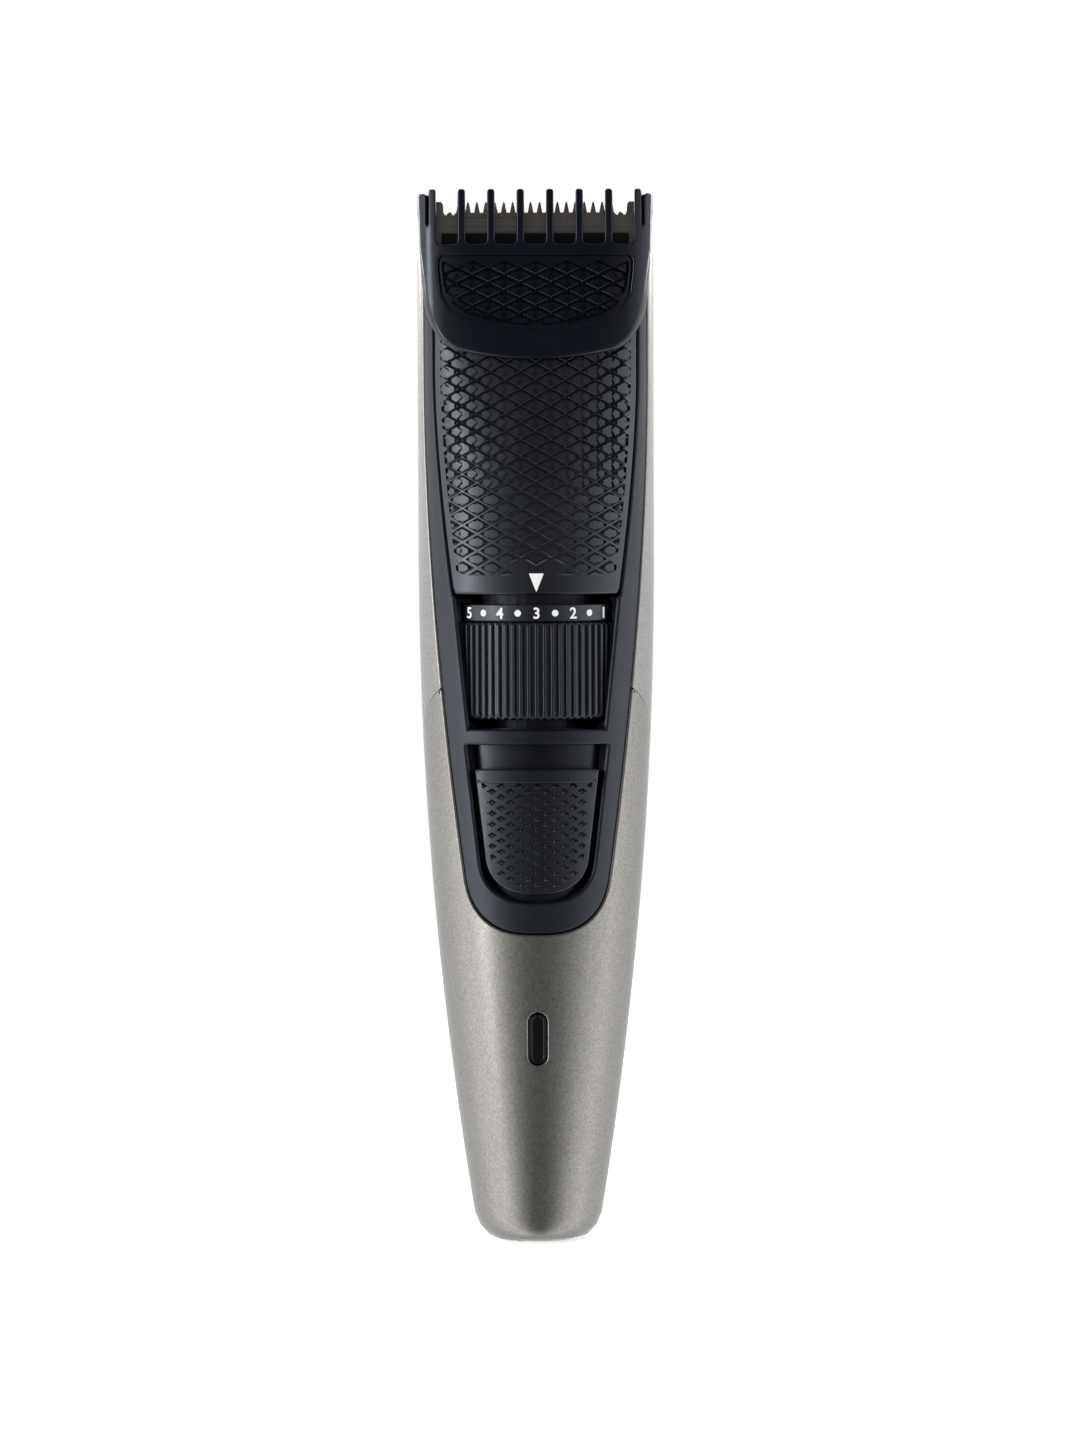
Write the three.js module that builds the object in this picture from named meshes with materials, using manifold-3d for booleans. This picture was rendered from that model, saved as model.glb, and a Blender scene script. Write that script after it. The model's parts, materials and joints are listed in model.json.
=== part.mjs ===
// A cordless beard trimmer with a length wheel and a sliding guide comb, in millimetres.
// +Z runs up the body to the teeth, the controls face -Y, and the base rests on Z = 0.
import * as THREE from "three";
import { mergeVertices } from "three/addons/utils/BufferGeometryUtils.js";
import Module from "manifold-3d";

const wasm = await Module();
wasm.setup();

// ---- Driving dimensions -------------------------------------------------------------------

const BODY_TOP = 155.5; // top rim of the two silver shells
const FRAME_TOP = 150.7; // top of the dark front frame, below the cutting head
const COMB_TOP = 165.2; // tips of the comb's teeth at setting 3
const HALF_WIDTH = 18.6;
const TAPER_FROM = 108; // below this height the body narrows to the base
const TAPER = 9.2;
const FRONT_DEPTH = 15.4;
const BACK_DEPTH = 15.9;
const BASE_FILLET = { rise: 4.4, inset: 3.3 };
const WALL = 1.8;
const FRAME_SKIN = [0.2, 2.4]; // how far the frame's outer and inner faces lie inside the shells' outside
const PANEL_SKIN = [-0.1, 1.9];
const TRAY_SKIN = [2.7, 3.9];
// The comb rides in front of the panel and closes in towards the shells at its sides: [side, front] insets.
const COMB_SKIN = [
  [-0.9, -2.6],
  [0.3, -0.9],
];
const SPLIT_Y = 2; // the shells meet here on the sides of the handle
const SPLIT_TURN_Z = 68; // above this the parting line sweeps forward to the dark frame
const FRONT_SHELL_TOP = 88.5;
const GAP = 0.15; // half the gap along a parting line

const AXIS_Y = -1.4; // the wheel, drum, bush, motor and cam share this axis
const WHEEL_RADIUS = 14.5;
const WHEEL_Z = [82.3, 97.5];
const SCALE_Z = [97.8, 100.3];
const RIB_COUNT = 72;
const RIB_DEPTH = 0.55;
const DRUM_RADIUS = 10.4;
const DRUM_TOP = 118.5;
const DEG_PER_MM = 24; // wheel turn for one number, which is one millimetre of comb travel
const TURN_DOWN = 60; // from setting 3 to 0.5
const TURN_UP = 168; // from setting 3 to 10
const FOLLOWER_Z = 109;

const BLADE_TIP = 163.3;
const TOOTH_PITCH = 1.4;
const COMB_PITCH = 4.6;
const COMB_TOOTH_WIDTH = 1.1;
const WINDOW_Z = 156.6; // the bottom of the gaps between the comb's teeth
const CAM_THROW = 0.9;
const BLADE_STROKE = 0.9;

// ---- The body's outer form ----------------------------------------------------------------

const clamp01 = (v) => Math.min(1, Math.max(0, v));
const smooth = (v) => v * v * (3 - 2 * v);

function halfWidth(z) {
  const below = Math.max(0, (TAPER_FROM - z) / TAPER_FROM);
  return HALF_WIDTH - TAPER * below ** 2;
}

function frontDepth(z) {
  return z < 85 ? FRONT_DEPTH - 3.6 * ((85 - z) / 85) ** 2 : FRONT_DEPTH - 4.2 * ((z - 85) / 70) ** 2;
}

function backDepth(z) {
  return z < 88 ? BACK_DEPTH - 6.4 * ((88 - z) / 88) ** 2 : BACK_DEPTH - 5 * ((z - 88) / 68) ** 2;
}

// The section is nearly an ellipse on the handle and squarer at the head.
function exponent(z) {
  return 2.1 + 1.4 * smooth(clamp01((z - 118) / 40));
}

function filletInset(z, from, { rise, inset }) {
  const share = clamp01((z - from) / rise);
  return inset * (1 - Math.sqrt(1 - (1 - share) ** 2));
}

// An inset is one number all round, or a pair for the sides and for the front and back.
const insetPair = (inset) => (Array.isArray(inset) ? inset : [inset, inset]);

// The front face's Y at a place across the body, inset from the shells' outside.
function frontY(x, z, inset) {
  const [side, deep] = insetPair(inset);
  const n = exponent(z);
  const share = clamp01(Math.abs(x) / (halfWidth(z) - side));
  return -(frontDepth(z) - deep) * (1 - share ** n) ** (1 / n);
}

function sectionPoints(z, inset, count) {
  const [side, deep] = insetPair(inset);
  const n = exponent(z);
  const points = [];
  for (let i = 0; i < count; i++) {
    const turn = (2 * Math.PI * i) / count;
    const c = Math.cos(turn);
    const s = Math.sin(turn);
    const depth = (s < 0 ? frontDepth(z) : backDepth(z)) - deep;
    const x = (halfWidth(z) - side) * Math.sign(c) * Math.abs(c) ** (2 / n);
    points.push([x, depth * Math.sign(s) * Math.abs(s) ** (2 / n)]);
  }
  return points;
}

// ---- Solid helpers ------------------------------------------------------------------------

function solidOf(geometry) {
  const g = geometry.clone();
  for (const name of Object.keys(g.attributes)) {
    if (name !== "position") g.deleteAttribute(name);
  }
  const merged = mergeVertices(g, 1e-4);
  return new wasm.Manifold(
    new wasm.Mesh({
      numProp: 3,
      vertProperties: merged.attributes.position.array,
      triVerts: new Uint32Array(merged.index.array),
    }),
  );
}

function geometryOf(solid) {
  const mesh = solid.getMesh();
  const positions = new Float32Array(mesh.numVert * 3);
  for (let i = 0; i < mesh.numVert; i++) {
    positions.set(mesh.vertProperties.subarray(i * mesh.numProp, i * mesh.numProp + 3), i * 3);
  }
  const geometry = new THREE.BufferGeometry();
  geometry.setAttribute("position", new THREE.BufferAttribute(positions, 3));
  geometry.setIndex(new THREE.BufferAttribute(new Uint32Array(mesh.triVerts), 1));
  geometry.computeVertexNormals();
  return geometry;
}

// Stacks rings of points, each ring as long as the next, into a closed solid.
function stack(rings) {
  const count = rings[0].length;
  const positions = rings.flat(2);
  const index = [];
  for (let r = 0; r + 1 < rings.length; r++) {
    for (let i = 0; i < count; i++) {
      const a = r * count + i;
      const b = r * count + ((i + 1) % count);
      index.push(a, b, b + count, a, b + count, a + count);
    }
  }
  const last = (rings.length - 1) * count;
  for (let i = 1; i + 1 < count; i++) {
    index.push(0, i + 1, i, last, last + i, last + i + 1);
  }
  const geometry = new THREE.BufferGeometry();
  geometry.setAttribute("position", new THREE.Float32BufferAttribute(positions, 3));
  geometry.setIndex(index);
  return solidOf(geometry);
}

// The body's form between two heights, inset from its outside; fillet rounds its lower edge.
function loft(z0, z1, inset, { fillet, step = 14, count = 36 } = {}) {
  const heights = fillet ? [0, 0.13, 0.5].map((share) => z0 + share * fillet.rise) : [];
  const from = z0 + (fillet ? fillet.rise : 0);
  const steps = Math.max(1, Math.round((z1 - from) / step));
  for (let i = 0; i <= steps; i++) heights.push(from + ((z1 - from) * i) / steps);
  return stack(
    heights.map((z) => {
      const more = fillet ? filletInset(z, z0, fillet) : 0;
      const [side, deep] = insetPair(inset);
      return sectionPoints(z, [side + more, deep + more], count).map(([x, y]) => [x, y, z]);
    }),
  );
}

// A flat plate with the body's section at its middle height.
function plate(z0, z1, inset, count = 36) {
  const section = sectionPoints((z0 + z1) / 2, inset, count);
  return stack([z0, z1].map((z) => section.map(([x, y]) => [x, y, z])));
}

function skin(z0, z1, [outer, inner], options) {
  return loft(z0, z1, outer, options).subtract(loft(z0 - 1, z1 + 1, inner, options));
}

function box([x0, x1], [y0, y1], [z0, z1]) {
  const g = new THREE.BoxGeometry(x1 - x0, y1 - y0, z1 - z0);
  g.translate((x0 + x1) / 2, (y0 + y1) / 2, (z0 + z1) / 2);
  return solidOf(g);
}

function cylinder(radius, [z0, z1], { x = 0, y = AXIS_Y, count = 32 } = {}) {
  const g = new THREE.CylinderGeometry(radius, radius, z1 - z0, count);
  g.rotateX(Math.PI / 2);
  g.translate(x, y, (z0 + z1) / 2);
  return solidOf(g);
}

function cylinderAlongY(radius, [y0, y1], { x = 0, z = 0, count = 16 } = {}) {
  const g = new THREE.CylinderGeometry(radius, radius, y1 - y0, count);
  g.translate(x, (y0 + y1) / 2, z);
  return solidOf(g);
}

function tube(outer, inner, span, options) {
  const [z0, z1] = span;
  return cylinder(outer, span, options).subtract(cylinder(inner, [z0 - 1, z1 + 1], options));
}

// Turns a closed profile of [radius, z] points about the main axis.
function lathe(profile, count = 40) {
  const points = [...profile, profile[0]].map(([r, z]) => new THREE.Vector2(r, z));
  const g = new THREE.LatheGeometry(points, count);
  g.rotateX(Math.PI / 2);
  g.translate(0, AXIS_Y, 0);
  return solidOf(g);
}

// Extrudes an outline drawn in X and Z from y0 to y1.
function prismAlongY(shape, [y0, y1]) {
  const g = new THREE.ExtrudeGeometry(shape, { depth: y1 - y0, bevelEnabled: false, curveSegments: 8 });
  g.rotateX(Math.PI / 2);
  g.translate(0, y1, 0);
  return solidOf(g);
}

// Extrudes an outline drawn in Y and Z from x0 to x1.
function prismAlongX(points, [x0, x1]) {
  const g = new THREE.ExtrudeGeometry(shapeOf(points), { depth: x1 - x0, bevelEnabled: false });
  g.rotateX(Math.PI / 2);
  g.rotateZ(Math.PI / 2);
  g.translate(x0, 0, 0);
  return solidOf(g);
}

function shapeOf(points) {
  return new THREE.Shape(points.map(([a, b]) => new THREE.Vector2(a, b)));
}

// An outline symmetrical about X = 0, from its half width at each height.
function outlineOf(half, heights, { grow = 0, lift = 0 } = {}) {
  const right = heights.map((z) => [half(z) + grow, z + lift]);
  const left = right.map(([x, z]) => [-x, z]).reverse();
  return shapeOf([...right, ...left]);
}

function evenHeights(z0, z1, steps) {
  return Array.from({ length: steps + 1 }, (_, i) => z0 + ((z1 - z0) * i) / steps);
}

// Heights that crowd together round a tongue's lower end.
function tongueHeights(bottom, drop, top, steps) {
  const round = [0.01, 0.05, 0.15, 0.35, 0.65].map((share) => bottom + share * drop);
  return [...round, ...evenHeights(bottom + drop, top, steps)];
}

const both = (make) => make(-1).add(make(1));
const between = (side, near, far) => (side < 0 ? [-far, -near] : [near, far]);

// ---- Outlines on the front ----------------------------------------------------------------

// A tongue outline whose sides follow `side` and whose lower end is rounded over `drop`.
function tongue(side, bottom, drop, power) {
  return (z) => {
    const into = clamp01((bottom + drop - z) / drop);
    return side(z) * (1 - into ** power) ** (1 / power);
  };
}

const FRAME_BOTTOM = 48;
const FRAME_DROP = 9.5;
const frameSide = (z) => 17.7 - 5.85 * (Math.max(0, 135 - z) / 75) ** 1.73;
const frameHalf = tongue(frameSide, FRAME_BOTTOM, FRAME_DROP, 2.7);

const PANEL_BOTTOM = 101.8;
const POCKET_BOTTOM = 80.8;
const panelHalf = (z) => 16.1 - 2.9 * (Math.max(0, 136 - z) / 34) ** 1.6;
const pocketHalf = (z) => 10.8 + (2.2 * (z - POCKET_BOTTOM)) / (PANEL_BOTTOM - POCKET_BOTTOM);

const SLIDER_Z = [54.9, 74.6];
const RECESS_TOP = 78.1;
const sliderSide = (z) => 9.9 - 0.118 * (SLIDER_Z[1] - z);
const SLIDER_DROP = 6;
const sliderHalf = tongue(sliderSide, SLIDER_Z[0], SLIDER_DROP, 2.5);
const RECESS_MARGIN = 0.9;
const RECESS_BOTTOM = SLIDER_Z[0] - 1.3;
const RECESS_DROP = 6.5;
const recessHalf = tongue((z) => sliderSide(z) + RECESS_MARGIN, RECESS_BOTTOM, RECESS_DROP, 2.5);

const LENS = { width: 2.8, height: 8.05, z: 32.3 };

function pillShape(width, height, z) {
  const r = width / 2;
  const straight = height / 2 - r;
  const shape = new THREE.Shape();
  shape.absarc(0, z + straight, r, 0, Math.PI);
  shape.absarc(0, z - straight, r, Math.PI, 2 * Math.PI);
  shape.closePath();
  return shape;
}

// ---- Materials ----------------------------------------------------------------------------

function material(colour, roughness, metalness = 0) {
  return new THREE.MeshStandardMaterial({ color: colour, roughness, metalness });
}

const SILVER = material(0x8f8b85, 0.38, 0.75);
const FRAME_GREY = material(0x23262d, 0.42);
const GLOSS_BLACK = material(0x0c0f18, 0.22);
const MATT_BLACK = material(0x17181b, 0.6);
const WHITE_INK = material(0xd9d9d6, 0.5);
const LENS_BLACK = material(0x0a0a12, 0.12);
const STEEL = material(0xa9a6a0, 0.28, 1);
const SPRING_STEEL = material(0xc2bfb8, 0.25, 1);
const BRASS = material(0xb79a55, 0.35, 1);
const BOARD_GREEN = material(0x1f5b3a, 0.5);
const CELL_WRAP = material(0x2c5f8a, 0.4);
const CHASSIS_WHITE = material(0xc9c9c4, 0.6);
const RUBBER = material(0x111111, 0.9);
const LED_CLEAR = material(0xe8e4d0, 0.2);

const trimmer = new THREE.Group();

function place(name, solid, finish) {
  const mesh = new THREE.Mesh(geometryOf(solid), finish);
  mesh.name = name;
  trimmer.add(mesh);
}

// ---- Housing ------------------------------------------------------------------------------

const BASE_OPENING_INSET = 3.9;

// The Y of the line where the two shells meet, seen from the side.
function partingY(z) {
  const climb = Math.max(0, (z - SPLIT_TURN_Z) / 18);
  return SPLIT_Y - 9.5 * climb ** 2.5;
}

function partingProfile(shift) {
  const heights = [-5, SPLIT_TURN_Z, 73, 77, 80, 83, 86, FRONT_SHELL_TOP];
  return heights.map((z) => [partingY(z) + shift, z + shift]);
}

function housingSkin() {
  const cavity = loft(WALL, BODY_TOP + 1, WALL, { fillet: { rise: 1.5, inset: 1.5 } });
  const opening = loft(-1, WALL + 0.5, BASE_OPENING_INSET, { step: 4 });
  return loft(0, BODY_TOP, 0, { fillet: BASE_FILLET }).subtract(cavity).subtract(opening);
}

function frameMouth() {
  const heights = tongueHeights(FRAME_BOTTOM, FRAME_DROP, BODY_TOP + 5, 9);
  return prismAlongY(outlineOf(frameHalf, heights), [-40, 0]);
}

function rearShell() {
  const top = BODY_TOP + 5;
  const field = [...partingProfile(GAP), [-40, FRONT_SHELL_TOP + GAP], [-40, top], [40, top], [40, -5]];
  return housingSkin().intersect(prismAlongX(field, [-30, 30])).subtract(frameMouth());
}

function frontShell() {
  const field = [...partingProfile(-GAP), [-40, FRONT_SHELL_TOP - GAP], [-40, -5]];
  const slot = pillShape(LENS.width + 0.4, LENS.height + 0.4, LENS.z);
  return housingSkin()
    .intersect(prismAlongX(field, [-30, 30]))
    .subtract(frameMouth())
    .subtract(prismAlongY(slot, [-40, 0]));
}

function baseCap() {
  const plug = plate(0, 2.1, BASE_OPENING_INSET + 0.3, 28);
  const flange = plate(2.1, 3.1, 3.6, 28);
  return plug.add(flange).subtract(cylinder(3.25, [-1, 5], { count: 24 }));
}

function frontFrame() {
  const heights = tongueHeights(FRAME_BOTTOM, FRAME_DROP, BODY_TOP + 5, 9);
  const outline = outlineOf(frameHalf, heights, { grow: -0.25, lift: 0.3 });
  const pocket = outlineOf(pocketHalf, [POCKET_BOTTOM, PANEL_BOTTOM]);
  const panelHole = outlineOf(panelHalf, evenHeights(PANEL_BOTTOM - 0.05, FRAME_TOP - 1.2, 6));
  const recess = outlineOf(recessHalf, tongueHeights(RECESS_BOTTOM, RECESS_DROP, RECESS_TOP, 2));
  return skin(FRAME_BOTTOM - 2, FRAME_TOP, FRAME_SKIN, { step: 9 })
    .intersect(prismAlongY(outline, [-40, 0]))
    .subtract(prismAlongY(pocket, [-40, 0]))
    .subtract(prismAlongY(panelHole, [-40, 0]))
    .subtract(prismAlongY(recess, [-40, 0]))
    .subtract(cylinder(WHEEL_RADIUS + 0.4, [WHEEL_Z[0] - 0.8, SCALE_Z[1] + 0.8], { count: 48 }));
}

function pointerShape(grow) {
  const half = 1.24 + grow;
  return shapeOf([[-half, 105.2 + grow], [half, 105.2 + grow], [0, 102.25 - 1.6 * grow]]);
}

function gripPanel() {
  const heights = evenHeights(PANEL_BOTTOM - 0.05, FRAME_TOP - 1.2, 6);
  const outline = outlineOf(panelHalf, heights, { grow: -0.25 });
  const insetPocket = prismAlongY(pointerShape(0.1), [-40, frontY(0, 103, 0.5)]);
  return skin(PANEL_BOTTOM + 0.15, FRAME_TOP - 1.5, PANEL_SKIN, { step: 9 })
    .intersect(prismAlongY(outline, [-40, 0]))
    .subtract(insetPocket);
}

function pointerMark() {
  const prism = prismAlongY(pointerShape(0), [-40, frontY(0, 103, 0.4)]);
  return prism.intersect(loft(100, 110, -0.1, { step: 9 }));
}

function switchTray() {
  const heights = tongueHeights(FRAME_BOTTOM, FRAME_DROP, 79, 3);
  const outline = outlineOf(frameHalf, heights, { grow: -1.2, lift: 2 });
  return skin(FRAME_BOTTOM, 79.1, TRAY_SKIN, { step: 9 })
    .intersect(prismAlongY(outline, [-40, 0]))
    .subtract(box([-2.7, 2.7], [-40, 0], [59.5, 69.3]));
}

place("rear_shell", rearShell(), SILVER);
place("front_shell", frontShell(), SILVER);
place("base_cap", baseCap(), MATT_BLACK);
place("front_frame", frontFrame(), FRAME_GREY);
place("grip_panel", gripPanel(), FRAME_GREY);
place("pointer_mark", pointerMark(), WHITE_INK);
place("switch_tray", switchTray(), GLOSS_BLACK);

// ---- Power slider -------------------------------------------------------------------------

const STEM_END_Y = -10.5;

function powerSlider() {
  const outline = outlineOf(sliderHalf, tongueHeights(SLIDER_Z[0], SLIDER_DROP, SLIDER_Z[1], 2));
  const lip = outlineOf(sliderHalf, [SLIDER_Z[1] - 2.3, SLIDER_Z[1]], { grow: -0.2 });
  const pad = skin(50, 80, [0.4, 2.1], { step: 9 }).intersect(prismAlongY(outline, [-40, 0]));
  const ridge = skin(66, 80, [-0.3, 1.5], { step: 9 }).intersect(prismAlongY(lip, [-40, 0]));
  const stem = box([-2.2, 2.2], [-14, STEM_END_Y], [60, 65.4]);
  return pad.add(ridge).add(stem);
}

place("power_slider", powerSlider(), FRAME_GREY);
place("slider_clip", box([-4.2, 4.2], [STEM_END_Y + 0.15, -9.5], [59, 66.5]), MATT_BLACK);

// ---- Electronics --------------------------------------------------------------------------

const BOARD_Y = [-7.9, -6.9];
const CELL = { radius: 7, y: 1.5, z: [15.2, 64.4] };
const SCREW_X = 5.3;

function indicatorLens() {
  const pill = prismAlongY(pillShape(LENS.width, LENS.height, LENS.z), [-40, -10.6]);
  return pill.intersect(loft(20, 44, 0.25, { step: 8 }));
}

function circuitBoard() {
  const board = box([-6.6, 6.6], BOARD_Y, [16, 74]);
  return board.subtract(
    both((side) => cylinderAlongY(1.2, [-9, -6], { x: side * SCREW_X, z: 44 })),
  );
}

function cell() {
  const can = cylinder(CELL.radius, CELL.z, { y: CELL.y, count: 32 });
  return can.add(cylinder(2.6, [CELL.z[1] - 1, CELL.z[1] + 0.8], { y: CELL.y, count: 20 }));
}

function cellTab(z) {
  const strip = box([-2.4, 2.4], [BOARD_Y[1] + 0.2, CELL.y + 2], [z, z + 0.5]);
  const lug = box([-2.4, 2.4], [BOARD_Y[1] + 0.2, BOARD_Y[1] + 0.7], [z - 2, z + 0.5]);
  return strip.add(lug);
}

// A trough round the back of the cell, with two posts that carry the board.
function cellCradle() {
  const reach = THREE.MathUtils.degToRad(50);
  const shape = new THREE.Shape();
  shape.absarc(0, 0, 8.1, -reach, Math.PI + reach);
  shape.absarc(0, 0, 7.35, Math.PI + reach, -reach, true);
  shape.closePath();
  const g = new THREE.ExtrudeGeometry(shape, { depth: 42, bevelEnabled: false, curveSegments: 20 });
  g.translate(0, CELL.y, 19);
  const post = (side) =>
    box(between(side, 4.7, 7.4), [BOARD_Y[1] + 0.1, -3.9], [41, 47]).subtract(
      cylinderAlongY(1, [-8, -5.2], { x: side * SCREW_X, z: 44 }),
    );
  return solidOf(g).add(both(post));
}

function screwAlongY(x, z, headY, shank, headRadius = 1.7) {
  const head = cylinderAlongY(headRadius, [headY - 1, headY], { x, z });
  return head.add(cylinderAlongY(0.85, [headY - 0.1, headY + shank], { x, z }));
}

// A round inlet with a centre pin; its mouth opens downwards through the base cap.
function chargeSocket() {
  const pin = [[0, 3], [0.55, 3], [0.55, 10.5], [1.8, 10.5]];
  const barrel = [[1.8, 0.5], [2.95, 0.5], [2.95, 3.4], [4.4, 3.4], [4.4, 12], [0, 12]];
  return lathe([...pin, ...barrel], 28);
}

place("indicator_lens", indicatorLens(), LENS_BLACK);
place("status_led", box([-1, 1], [-10.1, BOARD_Y[0] - 0.1], [30.6, 34]), LED_CLEAR);
place("circuit_board", circuitBoard(), BOARD_GREEN);
place("switch_block", box([-4, 4], [-9.3, BOARD_Y[0] - 0.1], [58, 70]), MATT_BLACK);
place("battery_cell", cell(), CELL_WRAP);
place("cell_tab_top", cellTab(CELL.z[1] + 0.95), STEEL);
place("cell_tab_bottom", cellTab(CELL.z[0] - 0.7), STEEL);
place("cell_cradle", cellCradle(), CHASSIS_WHITE);
place("board_screw_left", screwAlongY(-SCREW_X, 44, BOARD_Y[0] - 0.1, 2.4), STEEL);
place("board_screw_right", screwAlongY(SCREW_X, 44, BOARD_Y[0] - 0.1, 2.4), STEEL);
place("charge_socket", chargeSocket(), MATT_BLACK);

// ---- Wheel, drum and bush -----------------------------------------------------------------

function lengthWheel() {
  const rim = [];
  for (let i = 0; i < 2 * RIB_COUNT; i++) {
    const turn = (Math.PI * i) / RIB_COUNT;
    const r = WHEEL_RADIUS - (i % 2 ? RIB_DEPTH : 0);
    rim.push([r * Math.cos(turn), AXIS_Y + r * Math.sin(turn)]);
  }
  const ring = (z) => rim.map(([x, y]) => [x, y, z]);
  return stack([ring(WHEEL_Z[0]), ring(WHEEL_Z[1])]).subtract(
    cylinder(12.6, [WHEEL_Z[0] - 1, WHEEL_Z[1] + 1], { count: 48 }),
  );
}

// The groove that lifts the comb: in the wheel's own frame, a helix at one millimetre per DEG_PER_MM.
function helixGroove() {
  const margin = 8;
  const from = -TURN_DOWN - margin;
  const to = TURN_UP + margin;
  const steps = 24;
  const [inner, outer, half] = [9.3, DRUM_RADIUS + 0.8, 1.25];
  const rings = [];
  for (let i = 0; i <= steps; i++) {
    const turn = from + ((to - from) * i) / steps;
    const a = THREE.MathUtils.degToRad(90 - turn);
    const z = FOLLOWER_Z + turn / DEG_PER_MM;
    const corner = (r, dz) => [r * Math.cos(a), AXIS_Y + r * Math.sin(a), z + dz];
    rings.push([corner(inner, -half), corner(outer, -half), corner(outer, half), corner(inner, half)]);
  }
  return stack(rings);
}

function camDrum() {
  const top = SCALE_Z[1];
  return lathe([
    [8.8, 98.4], [10.9, 98.4], [10.9, 83.5], [12.3, 83.5], [12.3, top],
    [DRUM_RADIUS, top], [DRUM_RADIUS, DRUM_TOP], [8.8, DRUM_TOP],
  ]).subtract(helixGroove());
}

function wheelBush() {
  return tube(8.5, 7.2, [79.4, 118.7]).add(tube(10.6, 7.2, [79.4, 80.9]));
}

// A leaf that clicks over the sleeve's inside; its foot lies on the bush's flange.
function detentSpring() {
  const y = AXIS_Y + 9.9;
  return prismAlongX(
    [[y - 1.2, 81.1], [y, 81.1], [y + 0.15, 88], [y + 0.6, 90], [y + 0.15, 92], [y, 95],
     [y - 0.4, 95], [y - 0.25, 92], [y + 0.2, 90], [y - 0.25, 88], [y - 0.4, 81.6], [y - 1.2, 81.6]],
    [-1.6, 1.6],
  );
}

function bushPlate() {
  return plate(77.4, 79.2, 4.3).subtract(cylinder(7.2, [76, 81], { count: 32 }));
}

place("length_wheel", lengthWheel(), GLOSS_BLACK);
place("scale_ring", tube(14.1, 12.6, SCALE_Z, { count: 48 }), GLOSS_BLACK);
place("cam_drum", camDrum(), MATT_BLACK);
place("wheel_bush", wheelBush(), MATT_BLACK);
place("detent_spring", detentSpring(), SPRING_STEEL);
place("bush_plate", bushPlate(), MATT_BLACK);

// ---- Motor --------------------------------------------------------------------------------

const MOTOR_RADIUS = 10.2;
const MOTOR_Z = [122.6, 144.6];
const BULKHEAD_Z = [146.4, 147.8];
const MOTOR_SCREW_X = 6.2;
const LEG_ZONE_Y = [AXIS_Y - 2.5, AXIS_Y + 2.5];

function legNotches(span) {
  return both((side) => box(between(side, 10.7, 20), LEG_ZONE_Y, span));
}

function motorCan() {
  const [z0, z1] = MOTOR_Z;
  return cylinder(MOTOR_RADIUS, MOTOR_Z, { count: 40 })
    .intersect(box([-12, 12], [AXIS_Y - 7.7, AXIS_Y + 7.7], [z0 - 1, z1 + 1]))
    .subtract(cylinder(5.6, [z0 - 1, z1 - 3], { count: 24 }))
    .subtract(cylinder(1.4, [z0 - 1, z1 + 1], { count: 16 }))
    .subtract(both((side) => cylinder(1, [z1 - 2.6, z1 + 1], { x: side * MOTOR_SCREW_X, count: 12 })));
}

function endBell() {
  return cylinder(10, [120.5, 122.5], { count: 40 })
    .intersect(box([-12, 12], [AXIS_Y - 7.5, AXIS_Y + 7.5], [120, 123]))
    .subtract(cylinder(1.4, [120, 124], { count: 16 }));
}

function motorMount() {
  return plate(119, 120.2, 2.8)
    .subtract(legNotches([118, 122]))
    .subtract(cylinder(4, [118, 122], { count: 24 }));
}

function bulkhead() {
  const [z0, z1] = BULKHEAD_Z;
  const span = [z0 - 1, z1 + 1];
  return plate(z0, z1, 2.8)
    .subtract(legNotches(span))
    .subtract(cylinder(2.5, span, { count: 24 }))
    .subtract(both((side) => cylinder(1.1, span, { x: side * MOTOR_SCREW_X, count: 12 })));
}

function motorScrew(side) {
  const x = side * MOTOR_SCREW_X;
  const head = cylinder(1.7, [BULKHEAD_Z[1] + 0.1, BULKHEAD_Z[1] + 1.2], { x, count: 16 });
  return head.add(cylinder(0.8, [MOTOR_Z[1] - 2.2, BULKHEAD_Z[1] + 0.2], { x, count: 12 }));
}

// A disc on the shaft with an offset pin that reaches up into the yoke.
function eccentricCam() {
  return cylinder(3, [148.3, 150.3], { count: 28 })
    .subtract(cylinder(1.12, [147, 149.7], { count: 20 }))
    .add(cylinder(0.8, [150, 154.6], { x: CAM_THROW, count: 16 }));
}

place("motor_mount", motorMount(), CHASSIS_WHITE);
place("motor_end_bell", endBell(), MATT_BLACK);
place("motor_can", motorCan(), STEEL);
place("motor_bearing", tube(3, 1.3, [144.75, 146.2], { count: 24 }), BRASS);
place("motor_bulkhead", bulkhead(), MATT_BLACK);
place("shaft_seal", tube(2.3, 1.3, [146.5, 147.7], { count: 24 }), RUBBER);
place("motor_screw_left", motorScrew(-1), STEEL);
place("motor_screw_right", motorScrew(1), STEEL);
place("motor_shaft", cylinder(1, [120.8, 149.5], { count: 16 }), STEEL);
place("eccentric_cam", eccentricCam(), BRASS);

// ---- Cutting head -------------------------------------------------------------------------

const FIXED_BLADE_Y = [-8.5, -7.9];
const MOVING_BLADE_Y = [-7.8, -7.2];
const BLADE_SCREW = { x: 10.5, z: 153.9 };

// A comb-like plate: teeth of even pitch between two shoulders.
function bladeShape(halfSpan, shoulder, z0, root, tip, toothHalf) {
  const count = Math.floor((2 * halfSpan) / TOOTH_PITCH);
  const first = (-(count - 1) * TOOTH_PITCH) / 2;
  const points = [[halfSpan + shoulder, z0], [halfSpan + shoulder, tip], [halfSpan + 0.15, tip]];
  for (let i = count - 1; i >= 0; i--) {
    const x = first + i * TOOTH_PITCH;
    points.push([x + toothHalf, root], [x + 0.12, tip], [x - 0.12, tip], [x - toothHalf, root]);
  }
  points.push([-halfSpan - 0.15, tip], [-halfSpan - shoulder, tip], [-halfSpan - shoulder, z0]);
  return shapeOf(points);
}

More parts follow.
